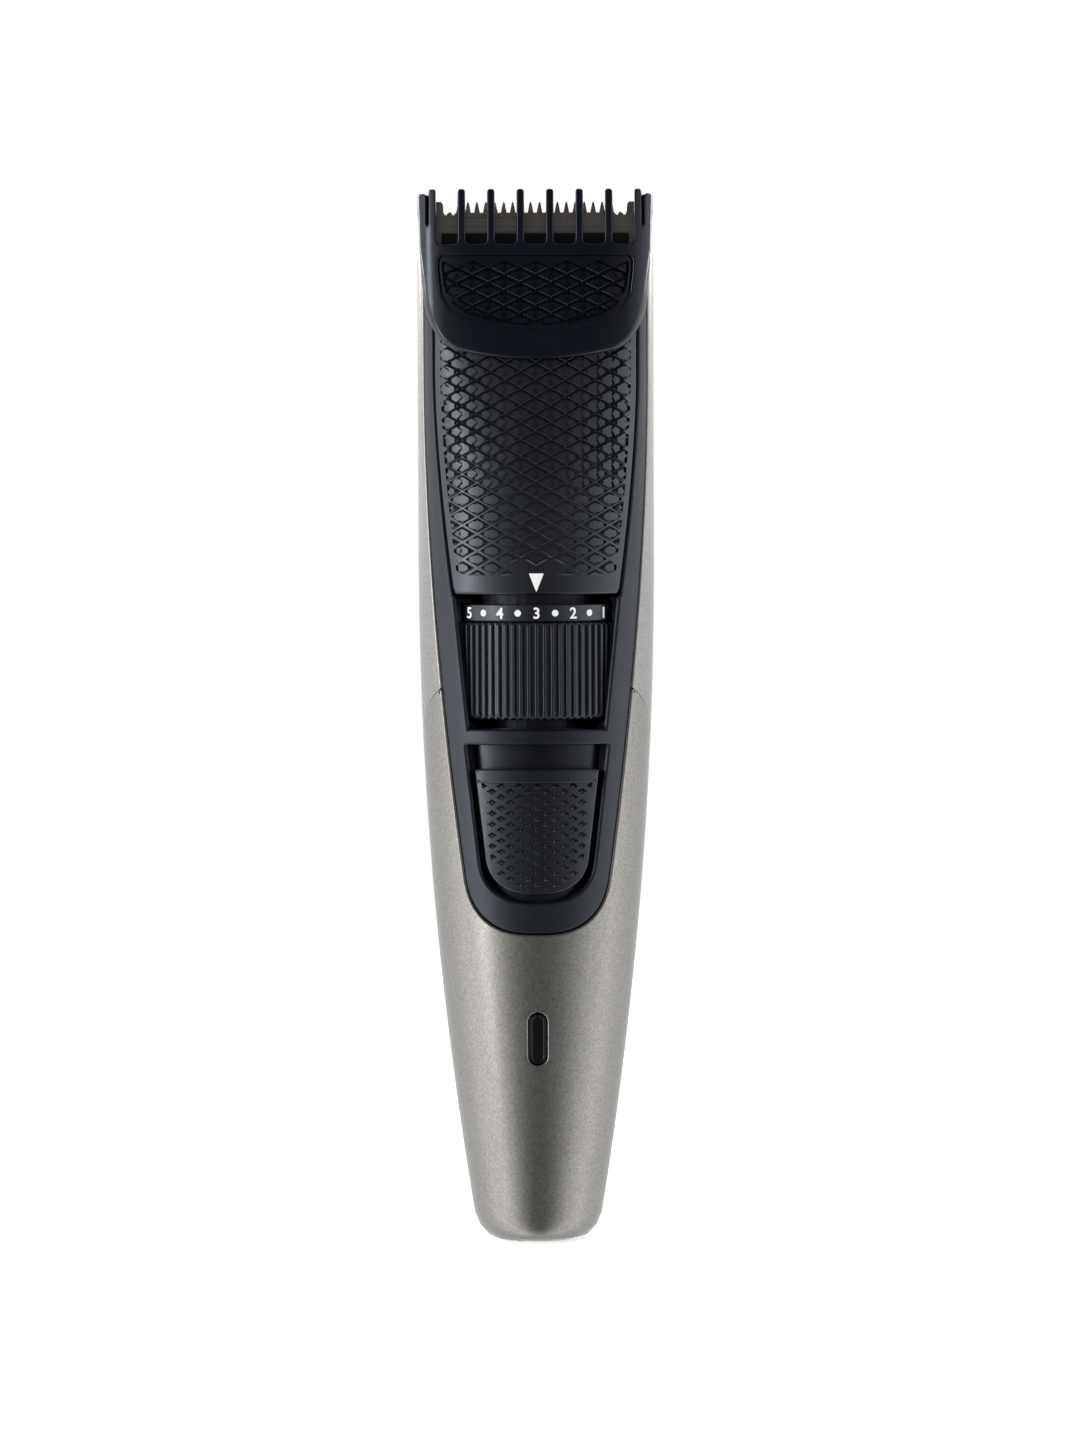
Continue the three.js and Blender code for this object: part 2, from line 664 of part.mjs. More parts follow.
function fixedBlade() {
  return prismAlongY(bladeShape(14.9, 1.1, 152.7, 161.4, BLADE_TIP, 0.45), FIXED_BLADE_Y).subtract(
    both((side) => cylinderAlongY(1.05, [-9, -7], { x: side * BLADE_SCREW.x, z: BLADE_SCREW.z })),
  );
}

function movingBlade() {
  return prismAlongY(bladeShape(13.2, 0.8, 155.9, 161.5, BLADE_TIP - 0.3, 0.4), MOVING_BLADE_Y);
}

// The yoke's slot is wide enough for the cam pin at any angle with the blade at either end of its stroke.
function driveYoke() {
  const slotHalf = CAM_THROW + BLADE_STROKE + 0.8 + 0.15;
  const arm = box([-4.2, 4.2], [-7, 1.4], [152.6, 154.4]);
  const slot = box([-slotHalf, slotHalf], [AXIS_Y - 2, 3], [152, 155]);
  return arm.subtract(slot).add(box([-4.2, 4.2], [-7, -6.2], [152.6, 158.8]));
}

// A tray that closes the top of the body, with an apron and a lip in front of the blades.
function bladeCarrier() {
  const apron = plate(151, 153.6, 0.6).intersect(box([-15.8, 15.8], [-20, -8.7], [150, 154]));
  const sill = plate(151, 152.4, 1.2).intersect(box([-15.6, 15.6], [-20, -7], [150, 153]));
  const lip = box([-14.6, 14.6], [-9.6, -8.7], [153, 158.4]);
  const floor = plate(151, 152.4, 2.8);
  const blocks = both((side) => box(between(side, 6, 15), [-7.7, -5.2], [151.6, 155.4]));
  const yokeWindow = box([-5.3, 5.3], [-8.5, 3.2], [150, 153]);
  const screwHoles = both((side) =>
    cylinderAlongY(1, [-8, -4], { x: side * BLADE_SCREW.x, z: BLADE_SCREW.z }),
  );
  return floor
    .add(apron)
    .add(sill)
    .add(lip)
    .add(blocks)
    .subtract(yokeWindow)
    .subtract(legNotches([150, 153]))
    .subtract(screwHoles);
}

// An arched spring: two legs down behind the moving blade and a bar above the yoke.
function bladeSpring() {
  const span = [-6.95, -6.5];
  return box([-12, 12], span, [159.1, 159.7]).add(
    both((side) => box(between(side, 11.2, 12), span, [155.6, 159.4])),
  );
}

function bladeScrew(side) {
  const at = { x: side * BLADE_SCREW.x, z: BLADE_SCREW.z };
  return cylinderAlongY(1.5, [-5.1, -4.1], { ...at, count: 16 }).add(
    cylinderAlongY(0.8, [-8.6, -5], { ...at, count: 12 }),
  );
}

// A sloping hood that keeps hair out of the drive, open underneath.
function headCover() {
  const roof = [[-5.9, 155.8], [-5.9, 158.9], [-5.2, 159.6], [2.5, 158.6], [7.6, 155.2], [7.6, 152.7]];
  const under = [[6.5, 152.7], [6.5, 154.7], [2.1, 157.6], [-4.8, 158.5], [-4.8, 155.8]];
  const cheek = [...roof, [-3.6, 152.7], [-3.6, 155.8]];
  return prismAlongX([...roof, ...under], [-12, 12]).add(
    both((side) => prismAlongX(cheek, between(side, 11, 12))),
  );
}

place("blade_carrier", bladeCarrier(), MATT_BLACK);
place("fixed_blade", fixedBlade(), STEEL);
place("moving_blade", movingBlade(), STEEL);
place("drive_yoke", driveYoke(), CHASSIS_WHITE);
place("blade_spring", bladeSpring(), SPRING_STEEL);
place("blade_screw_left", bladeScrew(-1), STEEL);
place("blade_screw_right", bladeScrew(1), STEEL);
place("head_cover", headCover(), MATT_BLACK);

// ---- Comb and its carriage ----------------------------------------------------------------

const RING = { inner: 11, outer: 12.7, z: [106.5, 111.5] };
const ARM_TOP = 145;
const LEG_X = [13, 14.8];
const LEG_Y = [AXIS_Y - 2, AXIS_Y + 2];

function combCarriage() {
  const shape = new THREE.Shape();
  shape.absarc(0, 0, RING.outer, 0, Math.PI);
  shape.absarc(0, 0, RING.inner, Math.PI, 0, true);
  shape.closePath();
  const [z0, z1] = RING.z;
  const g = new THREE.ExtrudeGeometry(shape, { depth: z1 - z0, bevelEnabled: false, curveSegments: 20 });
  g.translate(0, AXIS_Y, z0);
  return solidOf(g)
    .add(both((side) => box(between(side, RING.inner, RING.outer), LEG_Y, [z0, ARM_TOP])))
    .subtract(cylinderAlongY(1.2, [AXIS_Y + 8, AXIS_Y + 14], { z: FOLLOWER_Z }));
}

// The comb's front outline: a shallow arc below, round corners, and horns that clear the shells' rim.
function combShape() {
  const shape = new THREE.Shape();
  const hornTop = 164.5;
  const side = [[18.4, 161.2], [17.9, 159.2], [17.4, 158.8], [17.3, 148.5]];
  shape.moveTo(18.4, hornTop);
  shape.lineTo(17, hornTop);
  shape.lineTo(16.9, WINDOW_Z);
  shape.lineTo(-16.9, WINDOW_Z);
  shape.lineTo(-17, hornTop);
  shape.lineTo(-18.4, hornTop);
  for (const [x, z] of side) shape.lineTo(-x, z);
  shape.quadraticCurveTo(-16.9, 142.4, -12.7, 140.4);
  shape.quadraticCurveTo(0, 137.2, 12.7, 140.4);
  shape.quadraticCurveTo(16.9, 142.4, 17.3, 148.5);
  for (const [x, z] of side.slice(0, 3).reverse()) shape.lineTo(x, z);
  shape.closePath();
  return shape;
}

function combRecessShape() {
  const shape = new THREE.Shape();
  shape.moveTo(-13, 154.9);
  shape.quadraticCurveTo(-15.2, 154.9, -15.2, 152.6);
  shape.lineTo(-14.9, 148.6);
  shape.quadraticCurveTo(-14.2, 145.8, -11, 144.7);
  shape.quadraticCurveTo(0, 141.7, 11, 144.7);
  shape.quadraticCurveTo(14.2, 145.8, 14.9, 148.6);
  shape.lineTo(15.2, 152.6);
  shape.quadraticCurveTo(15.2, 154.9, 13, 154.9);
  shape.closePath();
  return shape;
}

// The end teeth stand beside the blade's lip, so their backs can lie closer to the blade.
function combTooth(x) {
  const [outer] = COMB_SKIN;
  const back = Math.abs(x) > 15.4 ? -8.95 : -9.95;
  const face = (z) => frontY(x, z, outer);
  const top = COMB_TOP;
  const nose = face(top - 1.4);
  const front = [[face(155.4), 155.4], [face(160), 160], [nose, top - 1.4], [nose + 0.3, top - 0.35]];
  const tip = [[nose + 0.8, top], [back - 0.3, top - 0.2], [back, top - 1.2]];
  const root = [[back, 156.4], [back - 1.35, 156.4], [back - 1.4, 155.4]];
  return prismAlongX([...front, ...tip, ...root], [x - COMB_TOOTH_WIDTH / 2, x + COMB_TOOTH_WIDTH / 2]);
}

function guideComb() {
  const plateSkin = skin(137, 166, COMB_SKIN, { step: 7 });
  const hollowSkin = skin(141, 156, [-6, [-0.3, -1.9]], { step: 5 });
  const hollow = hollowSkin.intersect(prismAlongY(combRecessShape(), [-40, -3]));
  let comb = plateSkin.intersect(prismAlongY(combShape(), [-40, -3])).subtract(hollow);
  for (let i = 0; i < 8; i++) comb = comb.add(combTooth((i - 3.5) * COMB_PITCH));
  const sideArm = (side) =>
    box(between(side, 17, 18.4), [-8.6, 0.6], [158.8, 164.4])
      .add(box(between(side, LEG_X[0], 17.6), LEG_Y, [158.8, 160.4]))
      .add(box(between(side, ...LEG_X), LEG_Y, [132, 160.4]));
  return comb.add(both(sideArm));
}

place("comb_carriage", combCarriage(), CHASSIS_WHITE);
place("follower_pin", cylinderAlongY(0.9, [AXIS_Y + 9.6, AXIS_Y + 12.9], { z: FOLLOWER_Z }), STEEL);
place("guide_comb", guideComb(), GLOSS_BLACK);

export default trimmer;
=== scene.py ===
"""A cordless beard trimmer, standing on its base: high-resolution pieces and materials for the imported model.

Lengths in this file are millimetres until a mesh is made. +Z is up and the controls face -Y.
"""

import json
import math

import bpy
import numpy as np
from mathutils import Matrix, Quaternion, Vector
from mathutils.geometry import delaunay_2d_cdt

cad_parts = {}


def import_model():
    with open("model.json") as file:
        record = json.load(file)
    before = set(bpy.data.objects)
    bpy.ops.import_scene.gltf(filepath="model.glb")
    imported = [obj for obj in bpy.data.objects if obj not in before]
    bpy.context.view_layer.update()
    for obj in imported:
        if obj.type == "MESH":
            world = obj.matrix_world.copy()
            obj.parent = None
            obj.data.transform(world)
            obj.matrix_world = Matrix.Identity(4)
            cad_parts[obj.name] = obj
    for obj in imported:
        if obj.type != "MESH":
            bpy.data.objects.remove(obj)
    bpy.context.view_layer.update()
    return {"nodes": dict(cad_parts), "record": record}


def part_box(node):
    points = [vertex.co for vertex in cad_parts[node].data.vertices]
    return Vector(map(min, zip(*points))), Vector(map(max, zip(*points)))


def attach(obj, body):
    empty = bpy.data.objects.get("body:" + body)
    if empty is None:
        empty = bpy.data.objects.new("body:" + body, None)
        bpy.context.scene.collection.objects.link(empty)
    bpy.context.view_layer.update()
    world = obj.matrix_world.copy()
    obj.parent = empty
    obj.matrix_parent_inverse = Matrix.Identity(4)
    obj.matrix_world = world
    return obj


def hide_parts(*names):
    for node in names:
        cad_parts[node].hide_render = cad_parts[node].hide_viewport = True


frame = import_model()
MM = 0.001


def node_box(name):
    """A CAD node's lowest and highest corner, in millimetres."""
    lo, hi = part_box(name)
    return np.array(lo) / MM, np.array(hi) / MM


# ---- Driving dimensions ----

BODY_TOP = node_box("rear_shell")[1][2]
FRAME_TOP = node_box("front_frame")[1][2]
COMB_TOP = node_box("guide_comb")[1][2]
HALF_WIDTH = 18.6
TAPER_FROM = 108.0
TAPER = 9.2
FRONT_DEPTH = 15.4
BACK_DEPTH = 15.9
FILLET_RISE = 4.4
FILLET_INSET = 3.3
BASE_RIM = 0.6  # how far the shells reach in under the base
WALL = 1.8
SPLIT_Y = 2.0
SPLIT_TURN_Z = 68.0
FRONT_SHELL_TOP = 88.5

FRAME_INSET = (0.2, 0.2)
PANEL_INSET = (-0.1, -0.1)
SLIDER_INSET = (0.4, 0.4)
TRAY_INSET = (2.7, 2.7)
COMB_INSET = (-0.9, -2.6)
COMB_FLOOR_INSET = (-0.3, -1.9)
COMB_FLATNESS = 2.2  # added to the body's exponent
COMB_WALL = 1.45
FRAME_WALL = 1.85

AXIS_Y = -1.4
WHEEL_LO, WHEEL_HI = node_box("length_wheel")
WHEEL_RADIUS = WHEEL_HI[0]
WHEEL_CLEARANCE = 0.4
SCALE_LO, SCALE_HI = node_box("scale_ring")
BAND_LOW = SCALE_LO[2] - 0.1
SLEEVE_BORE = 12.6
RIB_COUNT = 72
RIB_DEPTH = 0.55
DEG_PER_NUMBER = 24

BLADE_PITCH = 1.4
COMB_PITCH = 4.6
COMB_TOOTH_WIDTH = 1.2
WINDOW_Z = 156.6

CHART = 16.0  # chart units for one radian round the body


# ---- The body's form, as in the CAD model ----


def half_width(z):
    below = np.maximum(0, (TAPER_FROM - z) / TAPER_FROM)
    return HALF_WIDTH - TAPER * below**2


def front_depth(z):
    low = FRONT_DEPTH - 3.6 * ((85 - z) / 85) ** 2
    high = FRONT_DEPTH - 4.2 * ((z - 85) / 70) ** 2
    return np.where(z < 85, low, high)


def back_depth(z):
    low = BACK_DEPTH - 6.4 * ((88 - z) / 88) ** 2
    high = BACK_DEPTH - 5 * ((z - 88) / 68) ** 2
    return np.where(z < 88, low, high)


def exponent(z):
    rise = np.clip((z - 118) / 40, 0, 1)
    return 2.1 + 1.4 * rise * rise * (3 - 2 * rise)


def front_y(x, z, inset, flatness=0.0):
    n = exponent(z) + flatness
    share = np.clip(np.abs(x) / (half_width(z) - inset[0]), 0, 1)
    return -(front_depth(z) - inset[1]) * (1 - share**n) ** (1 / n)


def radial(phi, z, side, deep):
    """The distance of the section's edge from the axis; phi is 0 at the front and grows towards +X."""
    c, s = np.cos(phi), np.sin(phi)
    n = exponent(z)
    w = half_width(z) - side
    d = np.where(c >= 0, front_depth(z), back_depth(z)) - deep
    return (np.abs(s / w) ** n + np.abs(c / d) ** n) ** (-1 / n)


def base_fillet(v):
    """For chart heights v round the base's edge: the Z, the inset, and how upright the surface is."""
    turn = np.clip(v / FILLET_RISE, 0, 1) * math.pi / 2
    low = v < FILLET_RISE
    z = np.where(low, FILLET_RISE * (1 - np.cos(turn)), v)
    inset = FILLET_INSET * (1 - np.sin(turn)) + np.maximum(0, -v)
    return z, inset, np.where(low, np.sin(turn), 1)


class Chart:
    """Maps (u, v) round and up the body to 3-D. A filleted chart turns under the base at low v."""

    def __init__(self, inset, fillet=False):
        self.side, self.deep = inset
        self.fillet = fillet

    def lift(self, uv, depth=0.0):
        uv = np.asarray(uv, float)
        phi, v = uv[:, 0] / CHART, uv[:, 1]
        z, extra, level = base_fillet(v) if self.fillet else (v, 0.0, 1.0)
        z = z + depth * np.sqrt(1 - level**2)
        more = extra + depth * level
        r = radial(phi, z, self.side + more, self.deep + more)
        return np.stack([r * np.sin(phi), -r * np.cos(phi), z], axis=1)

    def tangents(self, uv):
        steps = np.array([[0.02, 0]]), np.array([[0, 0.02]])
        return [self.lift(uv + step) - self.lift(uv - step) for step in steps]

    def normals(self, uv):
        du, dv = self.tangents(uv)
        return unit(np.cross(du, dv))

    def from_front(self, outline):
        """Chart places of an outline drawn in X and Z on this surface's front."""
        outline = np.asarray(outline, float)
        x, z = outline[:, 0], outline[:, 1]
        return np.stack([CHART * np.arctan2(x, -front_y(x, z, (self.side, self.deep))), z], axis=1)

    def raised(self, height):
        return Chart((self.side - height, self.deep - height), self.fillet)


class CombChart(Chart):
    """Draws in X and Z on a front that is flatter than the body's. Depth goes straight back."""

    def lift(self, uv, depth=0.0):
        x, z = np.asarray(uv, float).T
        return np.stack([x, front_y(x, z, (self.side, self.deep), COMB_FLATNESS) + depth, z], axis=1)

    def from_front(self, outline):
        return np.asarray(outline, float)

    def raised(self, height):
        return CombChart((self.side, self.deep - height))


def unit(v):
    return v / np.maximum(np.linalg.norm(v, axis=-1, keepdims=True), 1e-12)


# ---- Outlines ----


def clamp01(v):
    return min(1.0, max(0.0, v))


def tongue(side, bottom, drop, power):
    """A half width that follows side and closes round over drop above bottom."""

    def half(z):
        into = clamp01((bottom + drop - z) / drop)
        return side(z) * (1 - into**power) ** (1 / power)

    return half


def tongue_heights(bottom, drop, top, step):
    """Heights up a tongue, crowded where its end turns."""
    turns = np.linspace(0.04, 1, 26)
    low = [bottom + drop * (1 - math.cos(t * math.pi / 2)) for t in turns]
    count = max(1, round((top - low[-1]) / step))
    return low + [low[-1] + (top - low[-1]) * i / count for i in range(1, count + 1)]


def mirrored(right):
    """A closed outline, counter-clockwise, from its right half listed upwards."""
    return list(right) + [(-x, z) for x, z in reversed(right)]


def densify(loop, step):
    """The closed loop with points added so that no edge is longer than step."""
    loop = [tuple(p) for p in loop]
    made = []
    for a, b in zip(loop, loop[1:] + loop[:1]):
        count = max(1, math.ceil(math.dist(a, b) / step))
        made += [(a[0] + (b[0] - a[0]) * i / count, a[1] + (b[1] - a[1]) * i / count) for i in range(count)]
    return made


def quadratic(a, b, c, steps):
    """Points along the curve that leaves a towards b and arrives at c."""
    a, b, c = (np.array(p, float) for p in (a, b, c))
    shares = [k / steps for k in range(steps + 1)]
    return [tuple((1 - t) ** 2 * a + 2 * t * (1 - t) * b + t * t * c) for t in shares]


def rounded(loop, radii, steps=5):
    """The closed loop with its corners rounded; radii is one number or one for each corner."""
    count = len(loop)
    radii = [radii] * count if np.isscalar(radii) else radii
    made = []
    for i, (p, r) in enumerate(zip(loop, radii)):
        p, a, b = (np.array(q, float) for q in (p, loop[i - 1], loop[(i + 1) % count]))
        if r <= 0:
            made.append(tuple(p))
            continue
        to_a, to_b = unit(a - p), unit(b - p)
        angle = math.acos(float(np.clip(to_a @ to_b, -1, 1)))
        reach = min(r / math.tan(angle / 2), 0.49 * math.dist(p, a), 0.49 * math.dist(p, b))
        start, end = p + to_a * reach, p + to_b * reach
        made += quadratic(start, p, end, steps)
    return made


def signed_area(loop):
    p = np.asarray(loop, float)
    q = np.roll(p, -1, axis=0)
    return 0.5 * float(np.sum(p[:, 0] * q[:, 1] - q[:, 0] * p[:, 1]))


def turned(loop, counter_clockwise):
    return loop if (signed_area(loop) > 0) == counter_clockwise else loop[::-1]


def inward(loop):
    """At each point of a loop, the step to the left that moves both its edges by one."""
    p = np.asarray(loop, float)
    ahead = unit(np.roll(p, -1, axis=0) - p)
    behind = np.roll(ahead, 1, axis=0)
    left = lambda v: np.stack([-v[:, 1], v[:, 0]], axis=1)
    middle = unit(left(ahead) + left(behind))
    share = np.maximum(0.45, np.sum(middle * left(ahead), axis=1, keepdims=True))
    return middle / share


def oriented(outer, holes):
    """The outer loop counter-clockwise and the holes clockwise, as arrays."""
    return [np.array(turned(list(loop), k == 0)) for k, loop in enumerate([outer, *holes])]


def inside(points, loop):
    """Which points lie inside a closed loop."""
    p = np.asarray(points, float)
    result = np.zeros(len(p), bool)
    q = np.asarray(loop, float)
    for (x0, y0), (x1, y1) in zip(q, np.roll(q, -1, axis=0)):
        if y0 == y1:
            continue
        crosses = (y0 > p[:, 1]) != (y1 > p[:, 1])
        result ^= crosses & (p[:, 0] < (x1 - x0) * (p[:, 1] - y0) / (y1 - y0) + x0)
    return result


def within(points, loops):
    """Which points lie inside the first loop and outside all the others."""
    keep = inside(points, loops[0])
    for hole in loops[1:]:
        keep &= ~inside(points, hole)
    return keep


def clipped(polygon, region):
    """A convex polygon cut to a convex, counter-clockwise region."""
    made = [tuple(p) for p in polygon]
    for a, b in zip(region, region[1:] + region[:1]):
        side = lambda p: (b[0] - a[0]) * (p[1] - a[1]) - (b[1] - a[1]) * (p[0] - a[0])
        kept = []
        for p, q in zip(made, made[1:] + made[:1]):
            sp, sq = side(p), side(q)
            if sp >= 0:
                kept.append(p)
            if (sp > 0 > sq) or (sp < 0 < sq):
                t = sp / (sp - sq)
                kept.append((p[0] + (q[0] - p[0]) * t, p[1] + (q[1] - p[1]) * t))
        made = kept
        if len(made) < 3:
            return []
    return made


# ---- Mesh building ----


class Build:
    """Collects vertices, normals and faces for one mesh."""

    def __init__(self):
        self.verts, self.normals, self.faces, self.count = [], [], [], 0

    def add(self, verts, normals, faces):
        start = self.count
        self.verts.append(verts)
        self.normals.append(normals)
        self.faces += [tuple(start + i for i in face) for face in faces]
        self.count += len(verts)
        return start

    def make(self, name, material):
        mesh = bpy.data.meshes.new(name)
        verts = np.concatenate(self.verts) * MM
        mesh.from_pydata(verts.tolist(), [], self.faces)
        mesh.shade_smooth()
        mesh.normals_split_custom_set_from_vertices(np.concatenate(self.normals).tolist())
        mesh.materials.append(material)
        made = bpy.data.objects.new(name, mesh)
        bpy.context.collection.objects.link(made)
        return made


def fill(loops, spacing):
    """Interior points and triangles for an outer loop and its holes. The loops' points come first."""
    rim = np.concatenate(loops)
    lo, hi = loops[0].min(axis=0), loops[0].max(axis=0)
    rows = [np.zeros((0, 2))]
    for k, y in enumerate(np.arange(lo[1] + spacing / 2, hi[1], spacing * 0.87)):
        xs = np.arange(lo[0] + spacing * (0.5 if k % 2 else 0.25), hi[0], spacing)
        rows.append(np.stack([xs, np.full_like(xs, y)], axis=1))
    grid = np.concatenate(rows)
    grid = grid[within(grid, loops)]
    gap = np.full(len(grid), np.inf)
    for part in np.array_split(rim, max(1, len(rim) // 200)):
        away = np.linalg.norm(grid[:, None, :] - part[None, :, :], axis=2)
        gap = np.minimum(gap, away.min(axis=1))
    grid = grid[gap > spacing * 0.55]
    edges, start = [], 0
    for loop in loops:
        n = len(loop)
        edges += [(start + i, start + (i + 1) % n) for i in range(n)]
        start += n
    points = np.concatenate([rim, grid])
    places, _, faces, origin, _, _ = delaunay_2d_cdt([Vector(p) for p in points], edges, [], 0, 1e-6)
    to_old = [o[0] if o else None for o in origin]
    faces = [f for f in faces if all(to_old[i] is not None for i in f)]
    centres = np.array([[sum(places[i][k] for i in f) / len(f) for k in (0, 1)] for f in faces])
    return points, [tuple(to_old[i] for i in f) for f, k in zip(faces, within(centres, loops)) if k]


def ring_faces(a, b, count):
    """Quads between two rings of count points that start at indices a and b."""
    return [(a + i, a + (i + 1) % count, b + (i + 1) % count, b + i) for i in range(count)]


def sheet(build, chart, outer, holes, edge, wall, spacing, hole_edge=None, steps=4, stud=False):
    """A plate that follows a chart, with rounded edges; a stud has a chamfer instead, and no underside.

    Outlines are drawn on the chart. edge and wall are lengths, or functions of (u, v).
    """
    deep = (lambda uv: np.array([wall(*p) for p in uv])) if callable(wall) else (lambda uv: wall)
    loops = oriented(outer, holes)
    radii = [edge] + [edge if hole_edge is None else hole_edge] * len(holes)
    # each bend is a row's place round the edge, and each facing the way its normal leans
    bends = [0, 0, 1] if stud else [k / steps for k in range(steps + 1)]
    facings = [0, 0.5, 0.5] if stud else bends
    tops = []
    for loop, radius in zip(loops, radii):
        step = inward(loop)
        r = np.array([radius(*p) for p in loop]) if callable(radius) else np.full(len(loop), float(radius))
        du, dv = chart.tangents(loop)
        out = -unit(step)
        away = unit(out[:, :1] * du + out[:, 1:] * dv)
        up = chart.normals(loop)
        rows, row_normals = [chart.lift(loop, deep(loop))], [away]
        for bend, facing in zip(bends, facings):
            place = loop + step * (r * (1 - math.cos(bend * math.pi / 2)))[:, None]
            rows.append(chart.lift(place, r * (1 - math.sin(bend * math.pi / 2))))
            tilt = facing * math.pi / 2
            row_normals.append(unit(math.cos(tilt) * away + math.sin(tilt) * up))
        n = len(loop)
        start = build.add(np.concatenate(rows), np.concatenate(row_normals), [])
        for k in range(len(rows) - 1):
            if stud and k == 1:
                continue  # the wall's edge and the chamfer's edge are in the same place
            build.faces += ring_faces(start + k * n, start + (k + 1) * n, n)
        tops.append(loop + step * r[:, None])
    points, tris = fill(tops, spacing)
    build.add(chart.lift(points), chart.normals(points), tris)
    if not stud:
        under = np.concatenate(loops + [points[sum(map(len, loops)):]])
        build.add(chart.lift(under, deep(under)), -chart.normals(under), [t[::-1] for t in tris])


def front_sheet(build, chart, step, outer, holes, *sizes, **options):
    """A sheet with outlines drawn in X and Z, in steps of a given length."""
    outer, *holes = (chart.from_front(densify(loop, step)) for loop in (outer, *holes))
    sheet(build, chart, outer, holes, *sizes, **options)


def face_normals(verts, faces):
    """Vertex normals weighted by area, so that small bevels stay crisp."""
    total = np.zeros_like(verts)
    for f in faces:
        p = verts[list(f)]
        n = np.cross(p[1] - p[0], p[2] - p[0])
        if len(f) == 4:
            n = n + np.cross(p[2] - p[0], p[3] - p[0])
        for i in f:
            total[i] += n
    return unit(total)


def join_rings(build, rings):
    """Joins rings of equal length, and the last to the first, into a closed body."""
    count = len(rings[0])
    verts = np.concatenate(rings)
    faces = []
    for k in range(len(rings)):
        faces += ring_faces(k * count, (k + 1) % len(rings) * count, count)
    build.add(verts, face_normals(verts, faces), faces)


def lathe(build, profile, count):
    """Turns a closed profile of (radius, z), counter-clockwise, about the wheel's axis."""
    turn = np.arange(count) / count * 2 * math.pi
    join_rings(build, [
        np.stack([r * np.cos(turn), AXIS_Y + r * np.sin(turn), np.full(count, z)], axis=1) for r, z in profile
    ])


def slab(build, loop, z0, z1, bevel, place, steps=3, holes=()):
    """A flat plate with rounded edges, drawn in a plane; place turns (a, b, height) into 3-D."""
    rows = []
    for k in range(steps + 1):
        turn = k / steps * math.pi / 2
        rows.append((bevel * (1 - math.sin(turn)), z0 + bevel * (1 - math.cos(turn))))
    rows += [(inset, z1 + z0 - z) for inset, z in reversed(rows)]
    verts, faces, tops = [], [], []
    low, high, count = [], [], 0
    for item in oriented(loop, holes):
        step, n = inward(item), len(item)
        for inset, z in rows:
            verts.append(np.column_stack([item + step * inset, np.full(n, z)]))
        for k in range(len(rows) - 1):
            faces += ring_faces(count + k * n, count + (k + 1) * n, n)
        tops.append(item + step * bevel)
        low += range(count, count + n)
        count += n * len(rows)
        high += range(count - n, count)
    points, tris = fill(tops, 3.0)
    extra = points[len(low):]
    for z, ids in ((z0, low), (z1, high)):
        verts.append(np.column_stack([extra, np.full(len(extra), z)]))
        ids += range(count, count + len(extra))
        count += len(extra)
    faces += [tuple(high[i] for i in t) for t in tris]
    faces += [tuple(low[i] for i in t[::-1]) for t in tris]
    verts = np.array([place(*p) for p in np.concatenate(verts)])
    normals = face_normals(verts, faces)
    if np.sum((verts - verts.mean(axis=0)) * normals) < 0:
        faces = [f[::-1] for f in faces]
        normals = -normals
    build.add(verts, normals, faces)


def upright(a, b, h):
    return (a, b, h)


def facing_front(y):
    """Draws in X and Z; height goes back from y."""
    return lambda a, b, h: (a, y + h, b)


def across(a, b, h):
    """Draws in Y and Z; height goes along X."""
    return (h, a, b)


def box_loop(a0, a1, b0, b1):
    return [(a0, b0), (a1, b0), (a1, b1), (a0, b1)]


# ---- Materials ----


MIDDLE = (0.3, 0.7)  # the range that most of a noise lies in
MATERIALS = {}  # by slot


class Tree:
    """A node tree, with short calls for the few nodes used here."""

    def __init__(self, tree):
        self.nodes, self.links = tree.nodes, tree.links

    def feed(self, socket, value):
        """Links an output to a socket, or sets a plain value on it."""
        if isinstance(value, bpy.types.NodeSocket):
            self.links.new(value, socket)
        else:
            socket.default_value = value

    def add(self, kind, output, inputs=(), **settings):
        """Adds a node, feeds its inputs, and gives one of its outputs."""
        node = self.nodes.new("ShaderNode" + kind)
        for key, value in settings.items():
            setattr(node, key, value)
        for key, value in dict(inputs).items():
            self.feed(node.inputs[key], value)
        return node.outputs[output]

    def ramp(self, value, stops, interpolation="LINEAR"):
        color = self.add("ValToRGB", "Color", {"Fac": value})
        ramp = color.node.color_ramp
        while len(ramp.elements) < len(stops):
            ramp.elements.new(0.5)
        for element, (place, tint) in zip(ramp.elements, stops):
            element.position = place
            element.color = (*tint, 1)
        ramp.interpolation = interpolation
        return color

    def spread(self, value, old, new):
        """The value carried over from the old range to the new."""
        limits = {"From Min": old[0], "From Max": old[1], "To Min": new[0], "To Max": new[1]}
        return self.add("MapRange", "Result", {"Value": value, **limits})


class Material(Tree):
    """A material with one Principled shader, painted in the object's own coordinates."""

    def __init__(self, slot):
        self.slot = slot
        self.made = bpy.data.materials.new(slot)
        self.made.use_nodes = True
        super().__init__(self.made.node_tree)
        self.coords = self.add("TexCoord", "Object")

    def noise(self, scale, detail=4.0, rough=0.55, vector=None):
        inputs = {"Scale": scale, "Detail": detail, "Roughness": rough, "Vector": vector or self.coords}
        return self.add("TexNoise", "Fac", inputs)

    def bump(self, height, distance, strength=0.5):
        return self.add("Bump", "Normal", {"Strength": strength, "Distance": distance, "Height": height})

    def finish(self, inputs):
        """Feeds the shader's inputs, by their names in Blender, and files the material under its slot."""
        for key, value in inputs.items():
            self.feed(self.nodes["Principled BSDF"].inputs[key], value)
        MATERIALS[self.slot] = self.made


